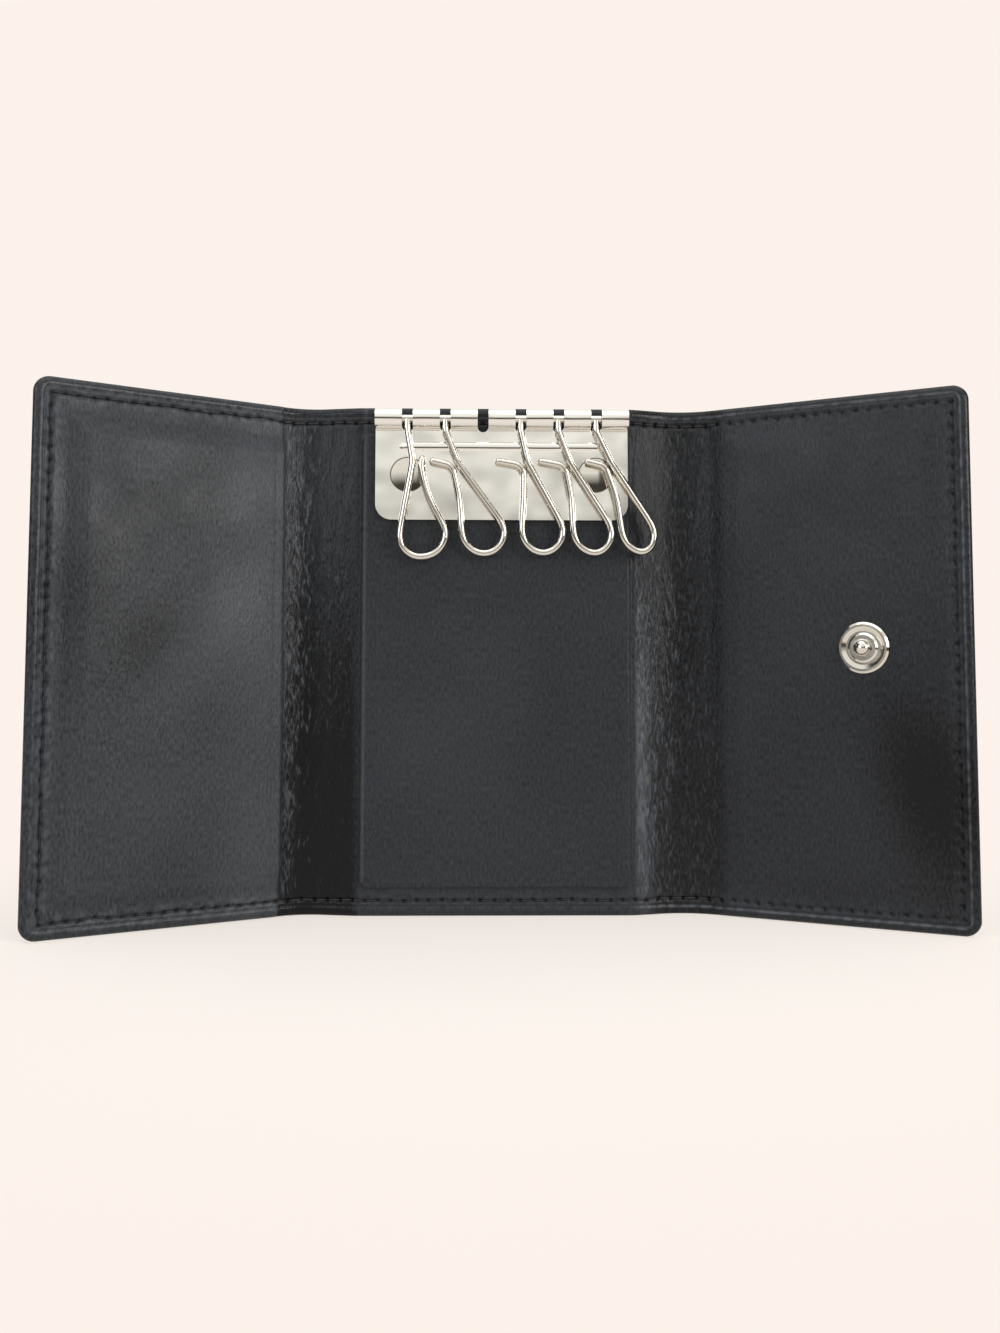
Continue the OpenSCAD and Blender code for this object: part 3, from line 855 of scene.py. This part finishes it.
@dataclass
class LeatherWork:
    """All leather of the case, cut into pieces for its bodies, with its thread."""

    skin: Skin
    leather: Material
    lining: Material
    thread: Material
    wear_and_light: WearAndPaintedLight = WearAndPaintedLight()
    thread_r: float = 0.19
    thread_sides: int = 6
    thread_rings: int = 7
    back_offset: float = 9
    near_edge: tuple[float, ...] = (
        0, 0.02, 0.07, 0.15, 0.26, 0.4, 0.57, 0.77, 0.98, 1.2, 1.42, 1.6, 1.74, 1.86, 1.98, 2.12, 2.3,
        2.5, 2.68, 2.86, 3.05, 3.24, 3.42, 3.6, 3.8, 4.1, 4.5, 4.9, 5.2, 5.4, 5.6, 5.8, 6.1)
    side_columns: int = 25
    middle_rows: int = 204

    def free_sides(self, cut: Cut) -> tuple[bool, bool]:
        """Whether a piece's start and its end are free edges of the case."""
        return cut.start <= self.skin.left_free + 0.01, cut.end >= self.skin.right_free - 0.01

    def columns(self, cut: Cut) -> Array:
        """Places of a piece's columns, closer together toward a free edge.

        Args:
            cut: the piece.
        Returns:
            Places across the folds.
        """
        near = np.array(self.near_edge[: self.side_columns])
        free_start, free_end = self.free_sides(cut)
        first = cut.start + (near if free_start else near[:1])
        last = cut.end - (near[::-1] if free_end else near[:1])
        count = max(2, round((last[0] - first[-1]) / cut.spacing))
        return np.r_[first, np.linspace(first[-1], last[0], count + 1)[1:-1], last]

    def grid(self, columns: Array) -> tuple[Array, Array]:
        """Grid of places, its rows closer together at the two long edges.

        Near a free edge the columns get shorter with the corner.

        Args:
            columns: places of the columns.
        Returns:
            Places across the folds and heights.
        """
        skin = self.skin
        near = np.array(self.near_edge)
        middle = np.linspace(near[-1], skin.case_h - near[-1], self.middle_rows + 2)[1:-1]
        rows = np.r_[near, middle, skin.case_h - near[::-1]]
        aside = np.minimum(columns - skin.left_free, skin.right_free - columns)
        lift = skin.corner_r * (1 - quarter_round(aside / skin.corner_r))
        z = lift[:, None] + rows[None, :] / skin.case_h * (skin.case_h - 2 * lift[:, None])
        return np.repeat(columns[:, None], len(rows), axis=1), z

    def shell(self, cut: Cut, faces: tuple[Face, Face], material: Material) -> Object:
        """Closes two faces of the skin into one solid piece.

        Both faces are grids over the same places. They share their corners where they
        meet at the round edge, and a strip of faces closes each cut side.

        Args:
            cut: where the piece lies.
            faces: functions of u and z for the height of its upper and its lower face.
            material: its finish.
        Returns:
            The object.
        """
        u, z = self.grid(self.columns(cut))
        place = self.skin.section.place
        points = np.concatenate([place(u, z, face(u, z)).reshape(-1, 3) for face in faces])
        number = np.arange(u.size).reshape(u.shape)
        free = self.free_sides(cut)
        shared = np.zeros(u.shape, bool)
        shared[:, [0, -1]] = True
        shared[[0, -1]] |= np.array(free)[:, None]
        used = np.r_[np.ones(u.size, bool), ~shared.ravel()]
        below = (np.cumsum(used) - 1)[np.where(shared, number, number + u.size)]
        quads = [grid_faces(number), grid_faces(below)[:, [0, 3, 2, 1]]]
        corners = []
        for one, other, is_free in ((number[0], below[0], free[0]), (below[-1], number[-1], free[1])):
            if not is_free:
                quads.append(np.stack([one[1:-2], one[2:-1], other[2:-1], other[1:-2]], -1))
                corners += [[one[0], one[1], other[1]], [one[-2], one[-1], other[-2]]]
        made_of = np.concatenate(quads).tolist() + np.array(corners).tolist()
        made = write_mesh(cut.name, points[used], made_of, material)
        back = np.repeat([0, self.back_offset], u.size)
        self.paint(made, np.c_[np.tile(u.ravel(), 2), np.tile(z.ravel(), 2), back][used])
        self.match_ends(made, cut, z, faces, (number, below))
        return made

    def paint(self, made: Object, flat: Array) -> None:
        """Stores the flat coordinates, the wear and painted light and shade, the creasing and the painted
        rim.

        Args:
            made: the piece.
            flat: u, z and the back offset of each of its corners.
        """
        u, z = flat[:, 0], flat[:, 1]
        soft = 1 - 0.8 * rise(u, 26, 1) * rise(z, 50, 16)
        values = {"rub_and_painted_light": self.wear_and_light_shares(u, z, flat[:, 2] > 1), "crease": self.skin.crease_share(u) * soft,
                  "rim": fall(self.skin.edge_distance(u, z), 2.3, 0.5)}
        new = made.data.attributes.new
        place = new("flat", "FLOAT_VECTOR", "POINT")
        place.data.foreach_set("vector", (flat * MM).astype(np.float32).ravel())
        for key, value in values.items():
            new(key, "FLOAT", "POINT").data.foreach_set("value", value.astype(np.float32))

    def wear_and_light_shares(self, u: Array, z: Array, outer: Array) -> Array:
        """How much lighter the leather is from wear and from painted light and shade, from 0 to about 1.

        The pocket's field has a painted sheen in a few wide patches and toward its open side,
        and painted light on its ramp. The borders beside the seam are scuffed. The tops of the
        ridges are lighter, partly wear and partly a painted highlight, with painted shade in
        the valleys. The left spine is painted darker toward its foot, and the right wing's
        lower corner holds a painted dark reflection. Painted highlights run along the right
        wing's rim and down the pad's left edge, a painted sheen lies low on the strip beside
        the pad, and the needle holes hold painted shade.

        Args:
            u: places along the section.
            z: heights.
            outer: True on the outer face.
        Returns:
            Shares of the way to the worn and lit shade.
        """
        skin, wear_and_light = self.skin, self.wear_and_light
        cloud = 0.5 + 0.5 * np.tanh(1.2 * ripples(u, z, 5, (0.005, 0.03), (0.005, 0.03), 12))
        scuffs = 0.5 + 0.5 * np.tanh(1.5 * ripples(u, z, 6, (0.05, 0.5), (0.05, 0.5), 24))
        away, across = skin.edge_distance(u, z), u - skin.left_free
        pocket = fall(u, skin.pocket_edge + 0.3, 0.3)
        pad = fall(np.abs(u), skin.pad_half + 0.3, 0.6)
        wing = rise(u, skin.right_hinge - 1, 4) * (1 - 0.3 * rise(across, 172, 8))
        spine = rise(u, skin.pocket_edge, 1) * fall(u, -skin.pad_half, 2)
        border = rise(away, 0.9, 0.4) * fall(away, 4.9, 0.8) * (0.35 + 0.65 * pocket) * scuffs
        # The pocket's own wear, with a painted sheen toward its open side.
        rubbed = wear_and_light.pocket + wear_and_light.clouds * cloud + wear_and_light.pocket_open_side * rise(across, 30, 14)
        # Painted light: the pocket's ramp is painted lighter where it turns away from the key lamp.
        rubbed = rubbed + wear_and_light.pocket_ramp * bell(away, 8.4, 1.6) * fall(u, skin.pocket_edge, 4)
        # Patches of painted sheen, lighter and darker, on the pocket's field.
        rubbed = rubbed + sum(patch.on(across, z) for patch in wear_and_light.sheen_patches)
        inner = wear_and_light.ground + wear_and_light.clouds * cloud + wear_and_light.wing * wing + pocket * rubbed
        inner = inner + pad * (wear_and_light.pad + sum(patch.on(u, z) for patch in wear_and_light.pad_clouds))
        # Painted sheen: the strip beside the pad is painted lighter toward its foot.
        inner = inner + wear_and_light.strip * bell(u, 29, 2) * fall(z, 66, 24)
        # Ridge tops painted lighter, partly wear and partly a painted highlight; the valleys get painted
        # shade.
        inner = inner + wear_and_light.ridges * skin.crease_share(u) * skin.ridges(u, z, skin.inner_seed)
        # Painted shade: the left spine is painted darker toward its foot.
        inner = inner + spine * (wear_and_light.spine_top + (wear_and_light.spine_foot - wear_and_light.spine_top) * fall(z, 92, 72))
        # A painted dark reflection darkens the right wing's lower corner; the scuffed border is real wear.
        inner = inner * (1 - wear_and_light.dark_corner_reflection.on(u - skin.right_free, z)) + wear_and_light.border * border
        # Painted highlight: a thin light line down the pad's left edge.
        inner = inner + wear_and_light.pad_line * bell(u, 0.75 - skin.pad_half, 0.3) * rise(z, 6, 2)
        # Painted highlight: a thin light line inside the right wing's edge, along its bead.
        inner = inner + wear_and_light.rim * bell(away, 1.5, 0.2) * (u > 30) * (0.4 + 0.6 * scuffs)
        back = wear_and_light.outer_ground + wear_and_light.outer_clouds * cloud + wear_and_light.outer_border * border
        # Painted shade: the needle holes are painted darker.
        pits = np.maximum(skin.seam(u, z) - skin.channel, 0) / skin.hole_depth
        return np.where(outer, back, inner) + wear_and_light.pits * pits

    def normals(self, face: Face, u: Array, z: Array) -> Array:
        """Unit normals of one face: the cross product of its tangents, taken as differences.

        Args:
            face: height of the face.
            u: places across the folds.
            z: heights.
        Returns:
            Normals, one for each place.
        """
        step = 0.05

        def point(du: float, dz: float) -> Array:
            """Points of the face beside the places."""
            height = face(u + du, np.clip(z + dz, 0, self.skin.case_h))
            return self.skin.section.place(u + du, z + dz, height)

        cross = np.cross(point(step, 0) - point(-step, 0), point(0, step) - point(0, -step))
        return cross / np.maximum(np.linalg.norm(cross, axis=1), 1e-9)[:, None]

    def match_ends(self, made: Object, cut: Cut, z: Array, faces: tuple[Face, Face],
                   sheets: tuple[Array, Array]) -> None:
        """Gives the corners of a cut side the whole skin's own normals.

        Two pieces that meet there then shade as one. The last few corners keep their
        own, where the round edge is too tight for a difference.

        Args:
            made: the piece.
            cut: where it lies.
            z: heights of its grid.
            faces: its upper and its lower face.
            sheets: corner numbers of both.
        """
        normals = np.zeros((len(made.data.vertices), 3))
        inside = slice(3, -3)
        for row, at, is_free in zip((0, -1), (cut.start, cut.end), self.free_sides(cut)):
            if is_free:
                continue
            for face, sheet, sign in zip(faces, sheets, (1, -1)):
                found = self.normals(face, np.full(z.shape[1], at), z[row])
                normals[sheet[row, inside]] = sign * found[inside]
        made.data.normals_split_custom_set_from_vertices(normals.tolist())

    def stitches(self, cut: Cut, side: Side) -> None:
        """Sews a piece on one face: each stitch is a short tube that dips into its holes.

        A stitch runs straight from hole to hole. Its height over the leather is the
        square root of a half sine wave, less the depth at its ends, and its radius
        shrinks toward the holes.

        Args:
            cut: the piece.
            side: the face.
        """
        skin = self.skin
        start, end = skin.holes, np.roll(skin.holes, -1, axis=0)
        middle_u = (start[:, 0] + end[:, 0]) / 2
        mine = (middle_u >= cut.start) & (middle_u < cut.end)
        if not mine.any():
            return
        start, way = start[mine], (end - start)[mine]
        share = np.linspace(0.03, 0.97, self.thread_rings)
        arch = np.sin(np.pi * share)
        line = start[:, None] + way[:, None] * share[None, :, None]
        run = unit(way)
        radius = (self.thread_r * (0.62 + 0.38 * arch))[None, :, None]
        cosine, sine = circle(self.thread_sides)
        aside = radius * cosine
        u = line[:, :, None, 0] - run[:, None, None, 1] * aside
        z = line[:, :, None, 1] + run[:, None, None, 0] * aside
        lift = (0.3 * np.sqrt(arch) - 0.31)[None, :, None] + radius * sine
        if side is Side.INNER:
            base = np.where(line[:, :, None, 0] < skin.pocket_edge, skin.pocket_t, 0)
        else:
            base = -skin.thickness
        points = skin.section.place(u, z, base + side.value * lift)
        faces = tube_faces(*u.shape, flip=side is Side.OUTER)
        name = f"{cut.name}_thread_{side.name.lower()}"
        sewn = write_mesh(name, points.reshape(-1, 3), faces, self.thread)
        self.attach(sewn, cut)

    def attach(self, made: Object, cut: Cut) -> None:
        """Rides a piece on its body; a piece between two bodies stays fixed in place.

        Args:
            made: the object.
            cut: the piece.
        """
        if len(cut.bodies) == 1:
            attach(made, cut.bodies[0])
            return
        turn = np.array([cut.turn_start, cut.turn_end])
        ends = self.skin.section.place(turn, np.full(2, self.skin.case_h / 2), np.zeros(2))
        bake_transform(made)

    def piece(self, cut: Cut, faces: tuple[Face, Face], material: Material) -> None:
        """Builds one leather piece, in place of its frame nodes.

        Args:
            cut: the piece.
            faces: heights of its inner and outer face.
            material: its finish.
        """
        made = self.shell(cut, faces, material)
        self.attach(made, cut)
        if cut.replaces:
            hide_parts(*cut.replaces)
        LOG.info("%s: %d corners", cut.name, len(made.data.vertices))

    def build(self) -> None:
        """Builds every leather piece and its thread."""
        skin = self.skin
        left_mid = (skin.left_fold + skin.left_hinge) / 2
        right_mid = (skin.right_fold + skin.right_hinge) / 2
        flat, fine = skin.section.flat_half, 0.12
        left_seat, right_seat = skin.left_hinge - 1.9, skin.right_hinge + 2.6
        for cut in (
            Cut("centre_panel", -flat, flat, ("centre",), ("centre_outer", "centre_lining")),
            Cut("left_valley", left_mid, -flat, ("centre", "left_spine"), (),
                fine, -flat - 0.8, left_mid + 0.4),
            Cut("left_turn", left_seat, left_mid, ("left_spine", "left_wing"),
                ("left_spine_outer", "left_spine_lining"), fine, left_mid - 0.4, left_seat + 0.6),
            Cut("left_wing_panel", skin.left_free, left_seat, ("left_wing",),
                ("left_wing_outer", "left_wing_lining")),
            Cut("right_valley", flat, right_mid, ("centre", "right_spine"), (),
                fine, flat + 0.4, right_mid - 1.2),
            Cut("right_turn", right_mid, right_seat, ("right_spine", "right_wing"),
                ("right_spine_outer", "right_spine_lining"), fine, right_mid + 1.2, right_seat - 0.6),
            Cut("right_wing_panel", right_seat, skin.right_free, ("right_wing",),
                ("right_wing_outer", "right_wing_lining")),
        ):
            self.piece(cut, (skin.inner, skin.outer), self.leather)
            for side in Side:
                self.stitches(cut, side)
        pocket = Cut("pocket_panel", skin.left_free, skin.pocket_edge, ("left_wing",), ("left_pocket",))
        self.piece(pocket, (skin.pocket_top, skin.pocket_under), self.lining)


# Hooks


@dataclass
class HookWork:
    """The five wire hooks, bent by hand: their loops hang in a rounder bow than drawn.

    A bend is given sideways in knuckle pitches, down in drops, and by its radius in
    drops, as in the construction. A common hook is given by lean, foot, side, tip and
    slot.
    """

    nickel: Material
    pitch: float = 7.45
    drop: float = 27
    wire_r: float = 0.7
    wire_sides: int = 16
    plate_x: float = 1.1
    pin_y: float = -2.6
    pin_z: float = 97.3
    slot_half: float = 1.155
    pin_l: float = 1.2
    pin_r: float = 1.02
    pin_sides: int = 24
    bevel: float = 0.1
    softness: float = 1.5
    bow: float = 0.9
    step: float = 0.2
    common: tuple = ((0, 0.48, 1.86, 0.34, 1), (-0.5, 0.48, 1.84, 0.47, 3), (-0.06, 0.48, 1.71, 0.45, 4),
                     (0.24, 0.51, 1.53, 0.3, 5))
    first: tuple = ((0, 0, 0), (0, 0.088, 0.22), (0.14, 0.315, 0.22), (-0.31, 1.03, 0.111),
                    (1.314, 0.939, 0.122), (0.515, 0.581, 0.9), (0.36, 0.345, 0.05), (0.39, 0.3, 0))

    def bends(self, lean: float, foot: float, side: float, tip: float) -> tuple:
        """Bend points of a common hook, with its loop sheared sideways by its lean.

        Args:
            lean: how far the loop leans to the right.
            foot: reach of the loop's foot.
            side: reach of its side.
            tip: how far the tip stops short.
        Returns:
            Bend points.
        """
        return ((0, 0, 0), (0, 0.089, 0.09), (0.33 + 0.3 * lean, 0.322, 0.22), (side + lean, 0.905, 0.11),
                (foot + lean, 1.012, 0.122), (foot - 0.1 + 0.6 * lean, 0.593, 0.9),
                (0.19 + 0.2 * lean, 0.347, 0.088), (0.25 * lean - tip, 0.314, 0))

    def line(self, bends: tuple) -> Array:
        """Middle line of a hook's wire in its plane, in even steps.

        Straight runs and arcs are laid through the bend points. The line is bowed down
        between its two lowest bends by half a sine wave, and its lower half is smoothed
        by a bell curve.

        Args:
            bends: the bend points.
        Returns:
            Points sideways and up from the pin.
        """
        spots = np.array(bends) * [self.pitch, -self.drop, self.drop]
        here, radii = spots[:, :2], spots[:, 2]
        share = np.linspace(0, 1, 25)[:, None]
        arcs = []
        for before, at, after, radius in zip(here, here[1:], here[2:], radii[1:]):
            back, on = (way / np.linalg.norm(way) for way in (before - at, after - at))
            half = math.acos(float(back @ on)) / 2
            centre = at + (back + on) / np.linalg.norm(back + on) * radius / math.sin(half)
            first, last = (at + way * radius / math.tan(half) - centre for way in (back, on))
            sweep = math.pi - 2 * half
            spoke = first * np.sin((1 - share) * sweep) + last * np.sin(share * sweep)
            arcs.append(centre + spoke / math.sin(sweep))
        points = np.r_[here[:1], *arcs, here[-1:]]
        run = lengths(points)
        line = along_line(np.arange(0, run[-1], self.step), run, points)
        lowest = (arc[len(arc) // 2] for arc in arcs[2:4])
        low, high = sorted(int(np.argmin(np.linalg.norm(line - spot, axis=1))) for spot in lowest)
        way = line[high] - line[low]
        down = np.array([way[1], -way[0]]) / np.linalg.norm(way)
        down = down if down[1] < 0 else -down
        along = np.clip((np.arange(len(line)) - low) / (high - low), 0, 1)
        line = line + self.bow * np.sin(np.pi * along)[:, None] * down
        much = fall(line[:, 1], -0.55 * self.drop, 5)[:, None]
        return line + (soften(line, self.softness, self.step) - line) * much

    def tube(self, line: Array) -> Array:
        """Rings of round wire along a line in the plane, with a rounded end.

        Args:
            line: middle line of the wire.
        Returns:
            Points by ring and side.
        """
        run = unit(np.gradient(line, axis=0))
        bend = np.linspace(0, 0.48 * np.pi, 6)[1:]
        centres = np.r_[line, line[-1] + run[-1] * self.wire_r * np.sin(bend)[:, None]]
        run = np.r_[run, np.repeat(run[-1:], len(bend), axis=0)]
        radius = self.wire_r * np.r_[np.ones(len(line)), np.cos(bend)][:, None]
        cosine, sine = circle(self.wire_sides)
        aside = radius * cosine
        x, z = centres[:, :1] - run[:, 1:] * aside, centres[:, 1:] + run[:, :1] * aside
        return np.stack([x, radius * sine, z], -1)

    def pin(self) -> Array:
        """Rings of the cross pin: a rod with a thicker journal in the knuckle at either side.

        Returns:
            Points by ring and side.
        """
        end = self.slot_half + self.pin_l
        half = np.array([self.slot_half - 0.001, self.slot_half, end - self.bevel, end])
        radii = np.array([self.wire_r, self.pin_r, self.pin_r, self.pin_r - self.bevel])
        along, radius = (np.r_[near[::-1] * sign, near][:, None] for near, sign in ((half, -1), (radii, 1)))
        cosine, sine = circle(self.pin_sides)
        return np.stack(np.broadcast_arrays(along, radius * cosine, radius * sine), -1)

    def build(self) -> None:
        """Builds every hook in its slot, in place of its frame node."""
        for slot, bends in ((0, self.first), *((each[4], self.bends(*each[:4])) for each in self.common)):
            name = f"hook_{slot + 1}"
            wire, pin = self.tube(self.line(bends)), self.pin()
            place = np.array([self.plate_x + (slot - 2.5) * self.pitch, self.pin_y, self.pin_z])
            points = np.r_[wire.reshape(-1, 3), pin.reshape(-1, 3)] + place
            faces = tube_faces(1, *wire.shape[:2], flip=True)
            first = wire.size // 3
            faces += [[first + corner for corner in face] for face in tube_faces(1, *pin.shape[:2])]
            made = write_mesh(f"{name}_wire", points, faces, self.nickel)
            made.data.set_sharp_from_angle(angle=math.radians(40))
            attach(made, name)
            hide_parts(name)
            LOG.info("%s: %d corners", name, len(points))


# Frame nodes that keep their shape


@dataclass
class Hardware:
    """Metal and board nodes of the frame, which only get their finish."""

    nickel: Material
    sheet: Material
    steel: Material
    board: Material
    nickel_nodes: str = "rivet_left rivet_right snap_stud snap_socket"
    steel_nodes: str = "washer_left washer_right stud_rivet socket_spring socket_rivet"
    board_nodes: str = "centre_board left_wing_board right_wing_board"

    def dress(self, nodes: dict[str, Object]) -> None:
        """Puts each finish on its nodes.

        Args:
            nodes: the frame's objects by name.
        """
        for names, material in ((self.nickel_nodes, self.nickel), ("key_plate", self.sheet),
                                (self.steel_nodes, self.steel), (self.board_nodes, self.board)):
            for name in names.split():
                nodes[name].data.materials.clear()
                nodes[name].data.materials.append(material)
                LOG.info("%s: finished in %s", name, material.name)


# Studio


@dataclass
class Studio:
    """Camera, lamps, floor and the pale surroundings."""

    ground_shade: str = "#faf6f1"
    backdrop_shade: str = "#fcf2eb"
    camera_at: tuple[float, float, float] = (-4.4, -260.0, 43.9)
    pitch: float = 4.37
    yaw: float = -1.15
    roll: float = 0.09
    focal_px: float = 1318.0
    image_w: float = 1000.0
    image_h: float = 1333.0
    principal_y: float = 588.8

    def camera(self) -> None:
        """Sets the camera from the place and angles fitted to the photograph."""
        data = bpy.data.cameras.new("camera")
        data.sensor_width = 36.0
        data.lens = self.focal_px * data.sensor_width / self.image_h
        data.shift_y = (self.principal_y - self.image_h / 2.0) / self.image_h
        data.clip_start, data.clip_end = 0.01, 20.0
        made = bpy.data.objects.new("camera", data)
        bpy.context.scene.collection.objects.link(made)
        yaw, pitch, roll = (math.radians(a) for a in (self.yaw, self.pitch, self.roll))
        ahead = Vector((-math.sin(yaw), math.cos(yaw), 0.0))
        right = Vector((math.cos(yaw), math.sin(yaw), 0.0))
        aim = ahead * math.cos(pitch) + Vector((0.0, 0.0, math.sin(pitch)))
        up = -ahead * math.sin(pitch) + Vector((0.0, 0.0, math.cos(pitch)))
        x_axis = right * math.cos(roll) + up * math.sin(roll)
        y_axis = -right * math.sin(roll) + up * math.cos(roll)
        turn = Matrix((x_axis, y_axis, -aim)).transposed().to_4x4()
        made.matrix_world = Matrix.Translation(Vector(self.camera_at) * MM) @ turn
        bpy.context.scene.camera = made

    def lamp(self, name: str, place: tuple[float, float, float],
             aim: tuple[float, float, float], size: float,
             power: float, shade: str = "#ffffff") -> None:
        """Adds a square area lamp, with places in metres."""
        data = bpy.data.lights.new(name, "AREA")
        data.size, data.energy, data.color = size, power, linear(shade)[:3]
        made = bpy.data.objects.new(name, data)
        made.location = place
        made.rotation_euler = (Vector(aim) - Vector(place)).to_track_quat("-Z", "Y").to_euler()
        bpy.context.scene.collection.objects.link(made)

    def floor(self) -> None:
        """Adds a wide pale floor that keeps a softened shadow and fades into the backdrop; its glow is
        painted light, and shiny things see a painted dark reflection in front.
        """
        half, low = 4.0, -0.00002
        corners = [(-half, -half, low), (half, -half, low), (half, half, low), (-half, half, low)]
        mesh = bpy.data.meshes.new("floor")
        mesh.from_pydata(corners, [], [(0, 1, 2, 3)])
        made = bpy.data.objects.new("floor", mesh)
        bpy.context.scene.collection.objects.link(made)
        material = bpy.data.materials.new("pale paper floor")
        material.use_nodes = True
        tree = material.node_tree
        tree.nodes.clear()
        place = add(tree, "TexCoord").outputs["Object"]
        away = add(tree, "VectorMath", {0: place}, operation="LENGTH").outputs["Value"]
        # Painted light: the floor glows at half strength beside the object and fully further off, softening
        # the shadow and blending into the backdrop.
        fade = add(tree, "MapRange", {0: away, 1: 0.04, 2: 0.17, 3: 0.50, 4: 1.0},
                   interpolation_type="SMOOTHSTEP").outputs[0]
        paper = add(tree, "BsdfDiffuse", {"Color": linear(self.ground_shade)})
        glow = add(tree, "Emission", {"Color": linear(self.backdrop_shade), "Strength": 1.0})
        mixed = add(tree, "MixShader", {0: fade, 1: paper.outputs[0], 2: glow.outputs[0]})
        # Painted dark reflection: shiny things see the floor dark in front of the object.
        depth = add(tree, "SeparateXYZ", {0: place}).outputs["Y"]
        near = add(tree, "MapRange", {0: depth, 1: -0.42, 2: -0.28, 3: 1.0, 4: 0.0},
                   interpolation_type="SMOOTHSTEP").outputs[0]
        mirrored = add(tree, "LightPath").outputs["Is Glossy Ray"]
        near = add(tree, "Math", {0: near, 1: mirrored}, operation="MULTIPLY").outputs[0]
        dark_room_reflection = add(tree, "Emission", {"Color": linear("#403d38"), "Strength": 1.0})
        mixed = add(tree, "MixShader", {0: near, 1: mixed.outputs[0], 2: dark_room_reflection.outputs[0]})
        add(tree, "OutputMaterial", {"Surface": mixed.outputs[0]})
        mesh.materials.append(material)

    def world(self) -> None:
        """Sets a pale backdrop for the camera and a quieter room for the light.

        The light comes evenly from all round. Shiny things see the pale backdrop too,
        with a darker room in front of the object, where the photographer stands.
        """
        world = bpy.data.worlds.new("pale studio")
        world.use_nodes = True
        tree = world.node_tree
        tree.nodes.clear()
        way = add(tree, "LightPath").outputs
        heading = add(tree, "TexCoord").outputs["Generated"]
        parts = add(tree, "SeparateXYZ", {0: heading}).outputs
        aside = add(tree, "Math", {0: parts["X"]}, operation="ABSOLUTE").outputs[0]
        aside = add(tree, "MapRange", {0: aside, 1: 0.55, 2: 0.75, 3: 1.0, 4: 0.0},
                    interpolation_type="SMOOTHSTEP").outputs[0]
        high = add(tree, "MapRange", {0: parts["Z"], 1: 0.0, 2: 0.14, 3: 0.18, 4: 0.72}).outputs[0]
        sill = add(tree, "MapRange", {0: parts["Z"], 1: 0.160, 2: 0.185, 3: 0.0, 4: 0.34},
                   interpolation_type="SMOOTHSTEP").outputs[0]
        high = add(tree, "Math", {0: high, 1: sill}, operation="ADD").outputs[0]
        near = add(tree, "MapRange", {0: parts["X"], 1: 0.13, 2: 0.20, 3: 1.0, 4: 0.12},
                   interpolation_type="SMOOTHSTEP").outputs[0]
        far = add(tree, "MapRange", {0: parts["X"], 1: 0.46, 2: 0.52, 3: 0.0, 4: 1.0},
                  interpolation_type="SMOOTHSTEP").outputs[0]
        over = add(tree, "MapRange", {0: parts["Z"], 1: 0.30, 2: 0.45, 3: 0.0, 4: 1.0},
                   interpolation_type="SMOOTHSTEP").outputs[0]
        door = add(tree, "Math", {0: near, 1: far}, operation="MAXIMUM").outputs[0]
        door = add(tree, "Math", {0: door, 1: over}, operation="MAXIMUM").outputs[0]
        high = add(tree, "Math", {0: high, 1: door}, operation="MULTIPLY").outputs[0]
        window = add(tree, "MapRange", {0: parts["X"], 1: -0.42, 2: -0.34, 3: 1.0, 4: 0.0},
                     interpolation_type="SMOOTHSTEP").outputs[0]
        window = add(tree, "Math", {0: window, 1: high}, operation="MAXIMUM").outputs[0]
        bright = add(tree, "Math", {0: window, 1: aside}, operation="MULTIPLY").outputs[0]
        room = add(tree, "Mix", {0: bright, 6: linear("#3a3733"), 7: linear("#fffdf8")},
                   data_type="RGBA").outputs[2]
        even = add(tree, "Background", {"Color": linear("#fdfcfb"), "Strength": 0.64})
        shiny = add(tree, "Background", {"Color": room, "Strength": 1.05})
        seen = add(tree, "Background", {"Color": linear(self.backdrop_shade), "Strength": 1.0})
        mirrored = add(tree, "Math", {0: way["Is Glossy Ray"], 1: way["Is Transmission Ray"]},
                       operation="MAXIMUM").outputs[0]
        lit = add(tree, "MixShader", {0: mirrored, 1: even.outputs[0], 2: shiny.outputs[0]})
        shown = add(tree, "MixShader", {0: way["Is Camera Ray"], 1: lit.outputs[0], 2: seen.outputs[0]})
        add(tree, "OutputWorld", {"Surface": shown.outputs[0]})
        bpy.context.scene.world = world

    def build(self) -> None:
        """Builds the whole studio."""
        bpy.context.scene.view_settings.view_transform = "Standard"
        self.camera()
        self.floor()
        self.world()
        self.lamp("key", (0.56, -0.50, 0.26), (0.0, 0.0, 0.05), 0.36, 2.8, "#fffcf9")
        self.lamp("fill", (-0.52, -0.54, 0.30), (0.0, 0.0, 0.05), 0.36, 1.2, "#f4f7ff")
        self.lamp("top", (0.0, -0.25, 0.8), (0.0, -0.05, 0.0), 0.7, 2.0, "#ffffff")


def main() -> None:
    """Builds the studio, the leather and the metal, in that order."""
    logging.basicConfig(level=logging.INFO, format="%(name)s: %(message)s")
    Studio().build()
    outer = Leather("waxed cowhide, pressed black", "#0e0f11", "#505459").material()
    lining = Leather("waxed calf lining, pressed black", "#0e0f11", "#54595e",
                     dull=0.44, polished=0.28, fleck=0.20).material()
    LeatherWork(Skin(Section()), outer, lining, Thread().material()).build()
    nickel = Metal("bright nickel plate on steel", "#d8d4ca").material()
    steel = Metal("zinc plated steel", "#b5b4b0", 0.3, 0.45).material()
    sheet = Metal("nickel plated steel sheet", "#ebe9e2", 0.09, 0.2, rivet_at=(18.6, 86.3)).material()
    HookWork(nickel).build()
    Hardware(nickel, sheet, steel, Board().material()).dress(frame["nodes"])


if __name__ == "__main__":
    main()
